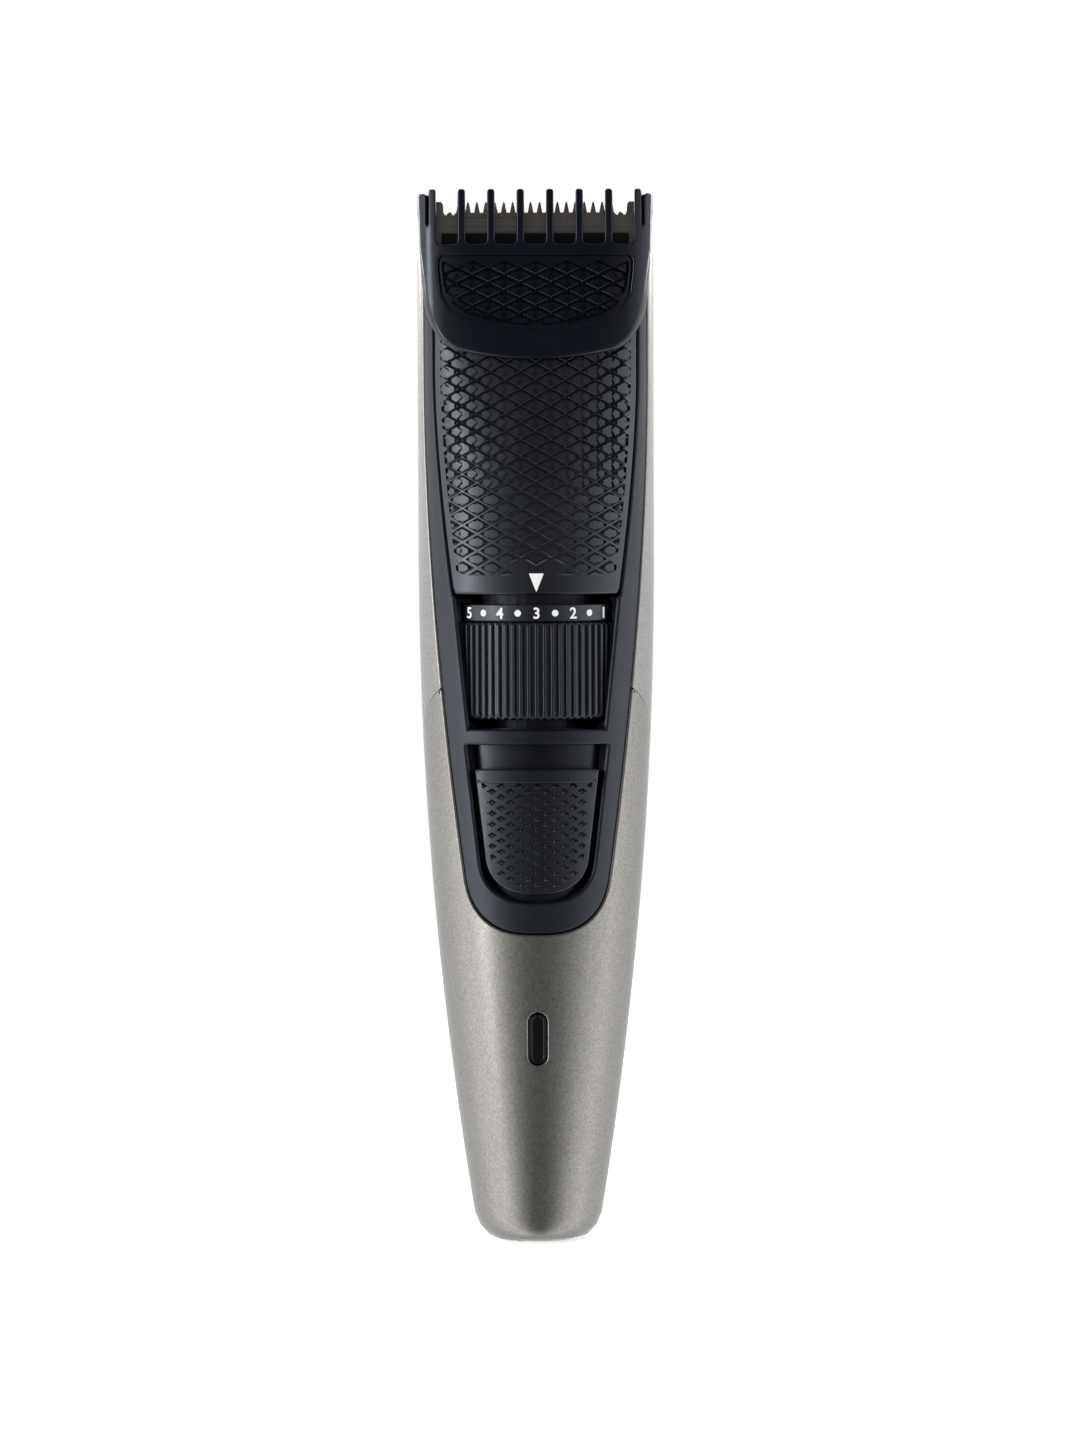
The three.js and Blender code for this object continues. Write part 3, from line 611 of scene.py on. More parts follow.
def metallic_paint(slot, dark, light, roughness):
    """Metallic lacquer: fine flakes of two tones under a thin clear coat."""
    m = Material(slot)
    middle = tuple((a + b) / 2 for a, b in zip(dark, light))
    cells = m.add("TexVoronoi", "Color", {"Scale": 6500, "Vector": m.coords})
    flakes = m.add("SeparateColor", "Red", {"Color": cells})
    m.finish({
        "Metallic": 0.85,
        "Coat Weight": 0.2,
        "Coat Roughness": 0.2,
        "Base Color": m.ramp(flakes, [(0.0, dark), (0.5, middle), (1.0, light)]),
        "Roughness": m.spread(m.noise(900, 3), MIDDLE, (roughness - 0.04, roughness + 0.05)),
        "Normal": m.bump(m.noise(3200, 2), 0.000004, 0.4),
    })


def moulded_plastic(slot, dark, light, roughness, specular=0.5, coat=0.0, grain=0.00002, grain_scale=1800):
    """Moulded plastic: a slightly uneven colour and gloss, and the fine grain of the mould."""
    m = Material(slot)
    m.finish({
        "Coat Weight": coat,
        "Coat Roughness": 0.08,
        "Specular IOR Level": specular,
        "Specular Tint": (0.84, 0.9, 1.0, 1),
        "Base Color": m.ramp(m.noise(70, 5), [(0.3, dark), (0.7, light)]),
        "Roughness": m.spread(m.noise(260, 5), MIDDLE, (roughness * 0.88, roughness * 1.15)),
        "Normal": m.bump(m.noise(grain_scale, 3), grain),
    })


def white_ink(slot, dark, light):
    """Bright printed ink with a painted glow: a little light of its own keeps it white in the shade of the
    front.
    """
    m = Material(slot)
    color = m.ramp(m.noise(900, 4), [(0.3, dark), (0.7, light)])
    m.finish({
        # painted light: the ink glows a little so that it stays white in shade
        "Emission Strength": 0.4,
        "Base Color": color,
        "Emission Color": color,
        "Roughness": m.spread(m.noise(600, 3), MIDDLE, (0.42, 0.55)),
        "Normal": m.bump(m.noise(2400, 3), 0.000005),
    })


def ground_steel(slot, dark, light, roughness):
    """Steel with fine parallel grinding lines."""
    m = Material(slot)
    stretched = m.add("Mapping", "Vector", {"Scale": (40, 40, 2400), "Vector": m.coords})
    lines = m.noise(1.0, 6, 0.6, stretched)
    m.finish({
        "Metallic": 1.0,
        "Anisotropic": 0.4,
        "Base Color": m.ramp(lines, [(0.25, dark), (0.75, light)]),
        "Roughness": m.spread(lines, MIDDLE, (roughness * 0.8, roughness * 1.3)),
        "Normal": m.bump(lines, 0.00001),
    })


# The rear shell, which holds the upper sides, is a little lighter than the front: partly a painted highlight
# for the brighter light on the upper sides.
metallic_paint("shell_pewter", (0.205, 0.197, 0.185), (0.33, 0.32, 0.30), 0.33)
metallic_paint("shell_silver", (0.24, 0.235, 0.225), (0.37, 0.365, 0.355), 0.33)
moulded_plastic("frame_satin", (0.005, 0.0072, 0.0125), (0.0075, 0.0095, 0.0155), 0.38, 0.55)
moulded_plastic("panel_satin", (0.0045, 0.0058, 0.009), (0.0065, 0.008, 0.0115), 0.34, 0.82)
moulded_plastic("comb_gloss", (0.004, 0.0056, 0.0115), (0.0055, 0.0075, 0.0145), 0.18,
                grain=0.000003, grain_scale=900)
moulded_plastic("tray_gloss", (0.003, 0.004, 0.007), (0.0045, 0.0055, 0.009), 0.3)
moulded_plastic("slider_satin", (0.005, 0.0068, 0.011), (0.0075, 0.009, 0.014), 0.29, 0.75)
moulded_plastic("wheel_black", (0.008, 0.0105, 0.016), (0.0115, 0.014, 0.0205), 0.32, 0.65)
white_ink("mark_white", (0.8, 0.8, 0.78), (0.88, 0.88, 0.86))
moulded_plastic("lens_black", (0.002, 0.002, 0.004), (0.004, 0.004, 0.007), 0.07,
                coat=0.6, grain=0.000002, grain_scale=500)
moulded_plastic("inner_black", (0.008, 0.008, 0.009), (0.013, 0.013, 0.015), 0.5)
moulded_plastic("nylon_white", (0.55, 0.55, 0.52), (0.62, 0.62, 0.59), 0.45)
ground_steel("blade_steel", (0.24, 0.215, 0.20), (0.44, 0.41, 0.385), 0.32)
ground_steel("plain_steel", (0.42, 0.41, 0.4), (0.6, 0.59, 0.58), 0.3)
ground_steel("spring_steel", (0.5, 0.49, 0.48), (0.66, 0.65, 0.64), 0.24)
ground_steel("brass", (0.5, 0.36, 0.13), (0.66, 0.5, 0.22), 0.3)
moulded_plastic("board_green", (0.012, 0.09, 0.04), (0.02, 0.13, 0.06), 0.35)
moulded_plastic("cell_wrap", (0.03, 0.09, 0.2), (0.04, 0.11, 0.24), 0.3, coat=0.4)
moulded_plastic("led_clear", (0.75, 0.72, 0.6), (0.8, 0.78, 0.68), 0.15)
moulded_plastic("seal_rubber", (0.008, 0.008, 0.008), (0.014, 0.014, 0.014), 0.7)


def dress_cad_nodes():
    """Every CAD node that stays in view gets its slot's finished material."""
    for part in frame["record"]["subparts"]:
        node = frame["nodes"][part["node"]]
        if not node.material_slots:
            node.data.materials.append(None)
        for slot in node.material_slots:
            slot.material = MATERIALS[part["material_slot"]]


def piece(build, name, slot, body, *nodes):
    """Finishes a mesh as a named piece that rides on a body and may stand for CAD nodes."""
    made = build.make(name, MATERIALS[slot])
    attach(made, body)
    if nodes:
        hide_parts(*nodes)


# ---- Outlines on the front ----

FRAME_BOTTOM, FRAME_DROP = 48.6, 9.5
frame_side = lambda z: 17.7 - 5.85 * (max(0, 135 - z) / 75) ** 1.73
frame_half = tongue(frame_side, FRAME_BOTTOM, FRAME_DROP, 2.7)

PANEL_BOTTOM = 101.8
POCKET_BOTTOM = 80.8
panel_half = lambda z: 16.1 - 2.9 * (max(0, 136 - z) / 34) ** 1.6
pocket_half = lambda z: 10.8 + 2.2 * (z - POCKET_BOTTOM) / (PANEL_BOTTOM - POCKET_BOTTOM)

SLIDER_BOTTOM, SLIDER_TOP, SLIDER_DROP = 54.9, 74.6, 6.0
RECESS_BOTTOM, RECESS_TOP, RECESS_DROP, RECESS_MARGIN = 53.6, 78.35, 6.5, 0.9
slider_side = lambda z: 9.9 - 0.118 * (SLIDER_TOP - z)
slider_half = tongue(slider_side, SLIDER_BOTTOM, SLIDER_DROP, 2.5)
recess_half = tongue(lambda z: slider_side(z) + RECESS_MARGIN, RECESS_BOTTOM, RECESS_DROP, 2.5)

LENS_LO, LENS_HI = node_box("indicator_lens")
LENS_WIDTH, LENS_HEIGHT = LENS_HI[0] * 2, LENS_HI[2] - LENS_LO[2]
LENS_Z = (LENS_LO[2] + LENS_HI[2]) / 2


def tongue_outline(half, bottom, drop, top, grow, lift, step):
    heights = tongue_heights(bottom, drop, top, step)
    return mirrored([(half(z) + grow, z + lift) for z in heights])


def pill_outline(width, height, z):
    r, straight, steps = width / 2, height / 2 - width / 2, 16
    right = []
    for k in range(-steps, steps + 1):
        turn = k / steps * math.pi / 2
        right.append((r * math.cos(turn), z + math.copysign(straight, k or 1) + r * math.sin(turn)))
    return mirrored(right)


# ---- Silver shells ----


def parting_y(z):
    climb = max(0.0, (z - SPLIT_TURN_Z) / 18)
    return SPLIT_Y - 9.5 * climb**2.5


def parting_u(v):
    """Where the line between the shells lies, on the +X side, at chart height v."""
    z, inset, _ = (float(item) for item in base_fillet(v))
    y = parting_y(z)
    n = float(exponent(z))
    depth = float(front_depth(z) if y < 0 else back_depth(z)) - inset
    x = (float(half_width(z)) - inset) * (1 - min(1, abs(y) / depth) ** n) ** (1 / n)
    return CHART * math.atan2(x, -y)


def mouth_u(z):
    """Where the mouth for the dark frame ends, on the +X side, at height z."""
    x = frame_half(z)
    return CHART * math.atan2(x, -float(front_y(x, z, (0, 0))))


def shell_meeting_z():
    """The height at which the parting line reaches the mouth for the dark frame."""
    low, high = 80.0, FRONT_SHELL_TOP
    for _ in range(40):
        middle = (low + high) / 2
        low, high = (middle, high) if parting_u(middle) > mouth_u(middle) else (low, middle)
    return low


SEAM = 0.07  # half the visible gap between the shells


def front_shell():
    shell = Chart((0, 0), fillet=True)
    tip = shell_meeting_z()
    side = [(parting_u(v) - SEAM, v) for v in np.linspace(-BASE_RIM, tip - 0.12, 110)]
    mouth = [(mouth_u(z), z) for z in reversed(tongue_heights(FRAME_BOTTOM, FRAME_DROP, tip - 0.12, 0.9))]
    outer = densify(mirrored(side + mouth), 1.0)
    slot = shell.from_front(densify(pill_outline(LENS_WIDTH + 0.3, LENS_HEIGHT + 0.3, LENS_Z), 0.6))
    edge = lambda u, v: 0.34 if v > 46 and abs(u) < mouth_u(max(v, FRAME_BOTTOM)) + 0.4 else 0.1
    made = Build()
    sheet(made, shell, outer, [slot], edge, WALL, 1.5, hole_edge=0.28)
    piece(made, "front_shell_skin", "shell_pewter", "housing", "front_shell")


def rear_shell():
    shell = Chart((0, 0), fillet=True)
    tip = shell_meeting_z()
    round_back = 2 * math.pi * CHART
    right = [(parting_u(v) + SEAM, v) for v in np.linspace(-BASE_RIM, tip - 0.1, 110)]
    right += [(mouth_u(z), z) for z in np.linspace(tip + 0.03, BODY_TOP, 70)]
    outer = right + [(round_back - u, v) for u, v in reversed(right)]
    outer = densify(turned(outer, True), 1.2)
    edge = lambda u, v: 0.7 if v > BODY_TOP - 0.05 else (0.34 if v > tip else 0.1)
    made = Build()
    sheet(made, shell, outer, [], edge, WALL, 1.6)
    piece(made, "rear_shell_skin", "shell_silver", "housing", "rear_shell")


def base_outline(inset):
    """The body's section just above its base, drawn in by inset."""
    turn = np.arange(140) / 140 * 2 * math.pi
    r = radial(turn, np.full(140, 1.0), inset, inset)
    return [(float(a * math.sin(t)), float(-a * math.cos(t))) for a, t in zip(r, turn)]


def circle(radius, y, count):
    turns = [2 * math.pi * i / count for i in range(count)]
    return [(radius * math.cos(t), y + radius * math.sin(t)) for t in turns]


def base_cap():
    made = Build()
    slab(made, base_outline(4.15), 0.0, 2.1, 0.3, upright, holes=[circle(3.25, AXIS_Y, 64)])
    piece(made, "base_cap_plate", "inner_black", "housing", "base_cap")


def charge_socket():
    made = Build()
    profile = [
        (0.02, 3.25), (0.3, 3.05), (0.5, 3.3), (0.55, 3.5), (0.55, 10.5), (1.8, 10.5), (1.8, 0.75),
        (1.95, 0.55), (2.8, 0.5), (2.95, 0.65), (2.95, 3.4), (4.4, 3.4), (4.4, 12), (0.02, 12),
    ]
    lathe(made, profile[::-1], 64)
    piece(made, "charge_inlet", "inner_black", "housing", "charge_socket")


# ---- Dark frame, panel and tray ----


def frame_wall(u, v):
    """The depth of the frame's edges: less beside the wheel, which turns clear of them."""
    x, y, z = Chart(FRAME_INSET).lift([(u, v)])[0]
    clear = math.hypot(x, y - AXIS_Y) - WHEEL_RADIUS - WHEEL_CLEARANCE
    beyond = max(0, WHEEL_LO[2] - z - 0.3, z - SCALE_HI[2] - 0.3)
    return min(FRAME_WALL, max(0.5, clear) + 3 * beyond)


def front_frame():
    outer = tongue_outline(frame_half, FRAME_BOTTOM, FRAME_DROP, FRAME_TOP - 0.3, -0.1, 0.12, 1.2)
    opening = [(pocket_half(z), z) for z in np.linspace(POCKET_BOTTOM, PANEL_BOTTOM, 16)]
    opening += [(panel_half(z), z) for z in np.linspace(PANEL_BOTTOM, FRAME_TOP - 1.2, 40)]
    recess = tongue_outline(recess_half, RECESS_BOTTOM, RECESS_DROP, RECESS_TOP, 0, 0, 1.0)
    recess = rounded(recess, [0.5 if abs(z - RECESS_TOP) < 1e-6 else 0 for x, z in recess])
    made = Build()
    holes = [mirrored(opening), recess]
    front_sheet(made, Chart(FRAME_INSET), 1.0, outer, holes, 0.45, frame_wall, 1.1, hole_edge=0.5)
    piece(made, "front_frame_bezel", "frame_satin", "housing", "front_frame")


def lattice(region, pitch_x, pitch_z, size, phase):
    """Diamond outlines on a staggered lattice, cut to a region. size gives (width, height) at a height."""
    xs, zs = zip(*region)
    region = turned([tuple(p) for p in region], True)
    made, row = [], 0
    z = max(zs) - phase
    while z > min(zs) - pitch_z:
        shift = 0.5 * pitch_x if row % 2 else 0.0
        reach = math.ceil(max(xs) / pitch_x) + 1
        for k in range(-reach, reach + 1):
            x = k * pitch_x + shift
            w, h = size(z)
            diamond = [(x + w / 2, z), (x, z + h / 2), (x - w / 2, z), (x, z - h / 2)]
            cut = clipped(diamond, region)
            if cut and abs(signed_area(cut)) > 0.12 * w * h / 2:
                made.append(cut)
        row += 1
        z -= pitch_z / 2
    return made


def tidy(loop, least):
    """The loop without points that nearly repeat the one before."""
    kept = []
    for p in loop:
        if not kept or math.dist(p, kept[-1]) > least:
            kept.append(p)
    while len(kept) > 3 and math.dist(kept[0], kept[-1]) <= least:
        kept.pop()
    return kept


def studs(build, chart, outlines, height, bevel, corner):
    """Low studs with chamfered edges that stand on a surface."""
    top = chart.raised(height)
    for outline in outlines:
        outline = tidy(turned(outline, True), 0.12)
        if len(outline) < 3:
            continue
        front_sheet(build, top, 0.9, rounded(outline, corner, 2), [], bevel, height + 0.12, 0.9, stud=True)


def grip_panel():
    face = Chart(PANEL_INSET)
    heights = np.linspace(PANEL_BOTTOM + 0.1, FRAME_TOP - 1.5, 44)
    outer = mirrored([(panel_half(z) - 0.25, z) for z in heights])
    outer = rounded(outer, [0.5 if i in (0, len(outer) - 1) else 0 for i in range(len(outer))])
    edge = lambda u, v: 0.5 if v < PANEL_BOTTOM + 0.6 else 0.25
    made = Build()
    front_sheet(made, face, 1.0, outer, [], edge, 1.9, 1.1)
    margin = 0.75
    field = [(panel_half(z) - 0.25 - margin, z) for z in np.linspace(104.9, FRAME_TOP - 2.5, 30)]

    def size(z):
        fade = clamp01((z - 104) / 22)
        return 3.5 + 1.12 * fade, 2.05 + 0.54 * fade

    diamonds = lattice(mirrored(field), 4.7, 2.66, size, 0.9)
    clear = [d for d in diamonds if not any(abs(x) < 2.0 and z < 106.2 for x, z in d)]
    studs(made, face, clear, 0.36, 0.2, 0.1)
    piece(made, "grip_panel_textured", "panel_satin", "housing", "grip_panel")


def pointer_mark():
    lo, hi = node_box("pointer_mark")
    half = (hi[0] - lo[0]) / 2 * 0.94
    loop = rounded([(-half, hi[2]), (0, lo[2]), (half, hi[2])], 0.1, 3)
    made = Build()
    front_sheet(made, Chart((-0.14, -0.14)), 0.4, loop, [], 0.05, 0.15, 0.8, steps=2)
    piece(made, "pointer_triangle", "mark_white", "housing", "pointer_mark")


def switch_tray():
    outer = tongue_outline(lambda z: frame_half(z) - 1.2, FRAME_BOTTOM, FRAME_DROP, 79.0, 0, 2.0, 1.2)
    outer = [(max(0.6, x) if x > 0 else min(-0.6, x), min(z, 79.0)) for x, z in outer]
    slot = rounded(box_loop(-2.7, 2.7, 59.5, 69.3), 0.3)
    made = Build()
    front_sheet(made, Chart(TRAY_INSET), 1.0, tidy(outer, 0.05), [slot], 0.1, 1.2, 1.4)
    piece(made, "switch_tray_floor", "tray_gloss", "housing", "switch_tray")


def indicator_lens():
    rim = pill_outline(LENS_WIDTH - 0.1, LENS_HEIGHT - 0.1, LENS_Z)
    well = pill_outline(LENS_WIDTH - 1.1, LENS_HEIGHT - 1.1, LENS_Z)
    made = Build()
    front_sheet(made, Chart((0.3, 0.3)), 0.6, rim, [well], 0.18, 1.0, 0.6, steps=3)
    pane = pill_outline(LENS_WIDTH - 0.9, LENS_HEIGHT - 0.9, LENS_Z)
    front_sheet(made, Chart((0.75, 0.75)), 0.6, pane, [], 0.1, 0.6, 0.6)
    piece(made, "charge_light_lens", "lens_black", "housing", "indicator_lens")


# ---- Power slider ----


def power_slider():
    face = Chart(SLIDER_INSET)
    outer = tongue_outline(slider_half, SLIDER_BOTTOM, SLIDER_DROP, SLIDER_TOP, 0, 0, 0.9)
    outer = rounded(outer, [0.9 if abs(z - SLIDER_TOP) < 1e-6 else 0 for x, z in outer])
    made = Build()
    front_sheet(made, face, 0.8, outer, [], 0.4, 1.7, 0.9)
    lip_bottom = SLIDER_TOP - 2.2
    lip = mirrored([(slider_side(z) - 0.12, z) for z in np.linspace(lip_bottom, SLIDER_TOP - 0.02, 5)])
    lip = rounded(lip, [0.8 if i in (4, 5) else (0.2 if i in (0, 9) else 0) for i in range(10)])
    front_sheet(made, Chart((-0.25, -0.25)), 0.7, lip, [], 0.35, 1.2, 0.8)
    field = tongue_outline(slider_half, SLIDER_BOTTOM, SLIDER_DROP, lip_bottom - 0.5, -0.75, 0.5, 1.2)
    field = [p for p in field if abs(p[0]) > 1.5]
    outlines = lattice(field, 2.9, 1.71, lambda z: (1.5, 0.95), 0.45)
    whole = [d for d in outlines if abs(signed_area(d)) > 0.3]
    studs(made, face, whole, 0.36, 0.22, 0.06)
    piece(made, "power_slider_pad", "slider_satin", "slider", "power_slider")


# ---- Length wheel ----


def length_wheel():
    """A ribbed sleeve. Each row is a radius, a height and how much of the ribs' depth stands there."""
    steps = 12
    turn = np.arange(RIB_COUNT * steps) / (RIB_COUNT * steps) * 2 * math.pi
    place = (np.arange(RIB_COUNT * steps) / steps + 0.5) % 1 - 0.5  # -0.5 to 0.5 across each rib
    crest = np.clip((0.34 - np.abs(place)) / 0.13, 0, 1)
    crest = crest * crest * (3 - 2 * crest)
    root = WHEEL_RADIUS - RIB_DEPTH
    z0, z1 = WHEEL_LO[2], WHEEL_HI[2]
    bore = SLEEVE_BORE
    rows = [(bore, z0 + 0.15, 0), (bore + 0.15, z0, 0), (root - 0.45, z0, 0), (root - 0.2, z0 + 0.1, 0)]
    for share in (k / 6 for k in range(7)):
        rows.append((root - 0.1 + 0.1 * share, z0 + 0.2 + 0.75 * share, math.sqrt(1 - (1 - share) ** 2)))
    rows += [(root, z, 1) for z in np.linspace(z0 + 2, z1 - 0.9, 8)]
    for share in (k / 4 for k in range(5)):
        rows.append((root, z1 - 0.5 + 0.4 * share, 1 - 0.55 * share * share))
    rows += [(root - 0.1, z1, 0.2), (bore + 0.15, z1, 0), (bore, z1 - 0.15, 0)]
    rings = []
    for r, z, rise in rows:
        radius = r + RIB_DEPTH * rise * crest
        ring = [radius * np.sin(turn), AXIS_Y - radius * np.cos(turn), np.full(len(turn), z)]
        rings.append(np.stack(ring, axis=1))
    made = Build()
    join_rings(made, rings)
    piece(made, "length_wheel_ribbed", "wheel_black", "wheel", "length_wheel")


def scale_ring():
    z0, z1, r, bore = BAND_LOW, SCALE_HI[2], SCALE_HI[0], SLEEVE_BORE
    b = 0.18
    profile = [
        (bore, z1 - b), (bore + b, z1), (r - b, z1), (r - 0.05, z1 - 0.05), (r, z1 - b), (r, z0 + b),
        (r - b, z0), (bore + b, z0), (bore, z0 + b),
    ]
    made = Build()
    lathe(made, profile[::-1], 180)
    piece(made, "scale_ring_band", "wheel_black", "wheel", "scale_ring")


def on_band(x, z, lift, centre_deg):
    """A place on the number band; x is to the right as read from outside."""
    radius = SCALE_HI[0]
    turn = math.radians(centre_deg) + x / radius
    return ((radius + lift) * math.sin(turn), AXIS_Y - (radius + lift) * math.cos(turn), z)


def numeral(text, centre_deg, z, height):
    """The corners and faces of a numeral wrapped on the band."""
    curve = bpy.data.curves.new("numeral", "FONT")
    curve.body = text
    curve.size = height * 1.38
    curve.offset = 0.045
    curve.extrude = 0.03
    curve.resolution_u = 5
    curve.align_x, curve.align_y = "CENTER", "CENTER"
    made = bpy.data.objects.new("numeral", curve)
    bpy.context.collection.objects.link(made)
    mesh = made.evaluated_get(bpy.context.evaluated_depsgraph_get()).to_mesh()
    corners = [tuple(v.co) for v in mesh.vertices]
    middle_x, middle_y = ((min(p[k] for p in corners) + max(p[k] for p in corners)) / 2 for k in (0, 1))
    verts = [on_band(a - middle_x, z + b - middle_y, 0.03 + h, centre_deg) for a, b, h in corners]
    faces = [tuple(p.vertices) for p in mesh.polygons]
    bpy.data.objects.remove(made)
    bpy.data.curves.remove(curve)
    return np.array(verts), faces


def flat_normals(verts, faces):
    """Splits every face and gives each corner its face's normal."""
    corners, normals, split = [], [], []
    for f in faces:
        p = verts[list(f)]
        n = unit(np.cross(p[1] - p[0], p[2] - p[0]))
        split.append(tuple(range(len(corners), len(corners) + len(f))))
        corners += list(p)
        normals += [n] * len(f)
    return np.array(corners), np.array(normals), split


def scale_marks():
    """Numbers 1 to 10 and the dots between them; 3 faces front at rest."""
    middle = (BAND_LOW + SCALE_HI[2]) / 2
    made = Build()
    for number in range(1, 11):
        verts, faces = numeral(str(number), (3 - number) * DEG_PER_NUMBER, middle, 1.75)
        made.add(*flat_normals(verts, faces))
    for k in range(10):
        centre = (3 - (k + 0.5)) * DEG_PER_NUMBER
        rim = circle(0.5, 0, 28)
        verts = [on_band(x, middle + z, 0.06, centre) for x, z in rim]
        verts += [on_band(x * 1.06, middle + z * 1.06, -0.02, centre) for x, z in rim]
        faces = [tuple(range(28))] + [(i, i + 28, (i + 1) % 28 + 28, (i + 1) % 28) for i in range(28)]
        made.add(*flat_normals(np.array(verts), faces))
    piece(made, "scale_numbers", "mark_white", "wheel")


# ---- Cutting head ----


def blade_outline(half_span, end, z0, root, tip, tooth_half):
    """A toothed blade in X and Z. end gives the inner and outer X of the wide tooth at each end."""
    count = int(2 * half_span / BLADE_PITCH)
    first = -(count - 1) * BLADE_PITCH / 2
    inner, outer = end
    right = [(outer, z0), (outer, tip - 0.5), (outer - 0.5, tip), (inner + 0.3, tip), (inner, tip - 0.4)]
    right += [(inner - 0.08, root + 0.2), (inner - 0.3, root - 0.25), (half_span - 0.1, root - 0.3)]
    loop = list(right)
    for i in range(count - 1, -1, -1):
        x = first + i * BLADE_PITCH
        loop += [(x + tooth_half, root + 0.15), (x + 0.17, tip - 0.15), (x, tip), (x - 0.17, tip - 0.15)]
        loop += [(x - tooth_half, root + 0.15), (x - BLADE_PITCH / 2, root)]
    return loop[:-1] + [(-x, z) for x, z in reversed(right)]


def toothed_blade(node, name, body, half_span, inner, tip_drop, tooth_length, tooth_half):
    """One blade in its node's box. Its tips are tip_drop below the top of that box."""
    lo, hi = node_box(node)
    tip = hi[2] - tip_drop
    loop = blade_outline(half_span, (inner, hi[0]), lo[2], tip - tooth_length, tip, tooth_half)
    made = Build()
    slab(made, loop, 0, hi[1] - lo[1], 0.07, facing_front(lo[1]), 2)
    piece(made, name, "blade_steel", body, node)


def blade_carrier():
    """The head's base: a floor, a front apron, the lip in front of the blades and two blocks behind them."""
    made = Build()
    lip = rounded(box_loop(-9.6, -8.7, 153.0, 158.4), [0.15, 0.15, 0.3, 0.3])
    slab(made, densify(lip, 0.8), -14.6, 14.6, 0.25, across)
    apron = [(-15.7, 151.1), (15.7, 151.1), (15.7, 153.5), (-15.7, 153.5)]
    slab(made, densify(rounded(apron, 0.3), 1.5), 0, 1.3, 0.25, facing_front(-9.9))
    reach = [(15.7 * math.cos(t), -0.6 + 9.2 * math.sin(t)) for t in np.linspace(0, math.pi, 40)]
    deck = [(-15.7, -9.4), (15.7, -9.4)] + [(x, max(y, -0.6)) for x, y in reach]
    leg_slots = [box_loop(10.7, 15.15, -3.75, 0.95), box_loop(-15.15, -10.7, -3.75, 0.95)]
    yoke_window = box_loop(-5.3, 5.3, -8.4, 3.2)
    openings = [densify(opening, 1.5) for opening in [*leg_slots, yoke_window]]
    slab(made, densify(tidy(deck, 0.05), 1.5), 151.0, 152.4, 0.25, upright, holes=openings)
    for near, far in ((-15.0, -6.0), (6.0, 15.0)):
        block = densify(rounded(box_loop(-7.7, -5.2, 151.6, 155.4), 0.3), 0.8)
        slab(made, block, near, far, 0.25, across)
    piece(made, "blade_carrier_moulded", "inner_black", "housing", "blade_carrier")


def head_cover():
    lo, hi = node_box("head_cover")
    roof = [(-5.9, 155.8), (-5.9, 158.7), (-5.2, 159.6), (2.5, 158.6), (7.6, 155.2), (7.6, 152.7)]
    under = [(6.5, 152.7), (6.5, 154.7), (2.1, 157.6), (-4.8, 158.5), (-4.8, 155.8)]
    loop = rounded(roof + under, [0.3, 0.5, 0.6, 3.0, 1.2, 0.3, 0.2, 0.6, 1.5, 0.3, 0.2])
    cheek = rounded([*roof, (-3.6, 152.7), (-3.6, 155.8)], [0.2, 0.4, 0.5, 3.0, 1.0, 0.2, 0.2, 0.2])
    made = Build()
    slab(made, densify(loop, 0.8), lo[0], hi[0], 0.35, across)
    for near, far in ((lo[0], lo[0] + 1), (hi[0] - 1, hi[0])):
        slab(made, densify(cheek, 0.8), near, far, 0.3, across)
    piece(made, "head_cover_hood", "inner_black", "housing", "head_cover")


# ---- Guide comb ----


def comb_side():
    """The comb's right side, from the middle of its lower edge to the outside of its horn."""
    low = quadratic((0, 138.6), (6.5, 138.6), (12.7, 140.2), 13)
    corner = quadratic((12.7, 140.2), (16.6, 141.9), (17.5, 148.5), 13)
    return low + corner[1:] + [(17.85, 152), (18.1, 156), (18.2, 159), (18.3, 162), (18.38, 164.2)]


def comb_top():
    """The comb's upper edge, right to left as far as the middle: horn, slit, four teeth and windows."""
    made = [(18.15, 164.5), (17.3, 164.5), (17.05, 164.0), (17.02, 159.8), (16.87, 159.5), (16.72, 159.8)]
    half = COMB_TOOTH_WIDTH / 2
    # half a tooth from the window's sill to the tip: the distance from its middle, and the height
    sill = [(0.75, 0), (0.3, 0.12), (0.05, 0.5), (0, 1.1)]
    sill = [(half + out, WINDOW_Z + up) for out, up in sill]
    tip = [(half, COMB_TOP - 0.4), (half - 0.12, COMB_TOP - 0.1), (half - 0.4, COMB_TOP)]
    for k in range(4):
        x = (3.5 - k) * COMB_PITCH
        made += [(x + away, z) for away, z in (sill if k else []) + tip]
        made += [(x - away, z) for away, z in reversed(sill + tip)]
    return made


def comb_recess(grow=0.0):
    right = [(0, 143.2), (6, 143.7), (11, 145.0), (13.6, 146.7), (14.8, 149.0), (15.2, 152.4), (15.3, 154.8)]
    right = [(x + grow * (x > 0), z + (grow if z > 154 else -grow if z < 150 else 0)) for x, z in right]
    loop = right + [(-x, z) for x, z in reversed(right[1:])]
    return rounded(loop, [2.5 if z < 150 else (1.1 if z > 154 else 0) for x, z in loop], 7)


def comb_wall(x, z):
    """The comb's depth straight back: its skin plus the turn-in at its sides."""
    return COMB_WALL + 3.0 * (abs(x) / 17.9) ** 5


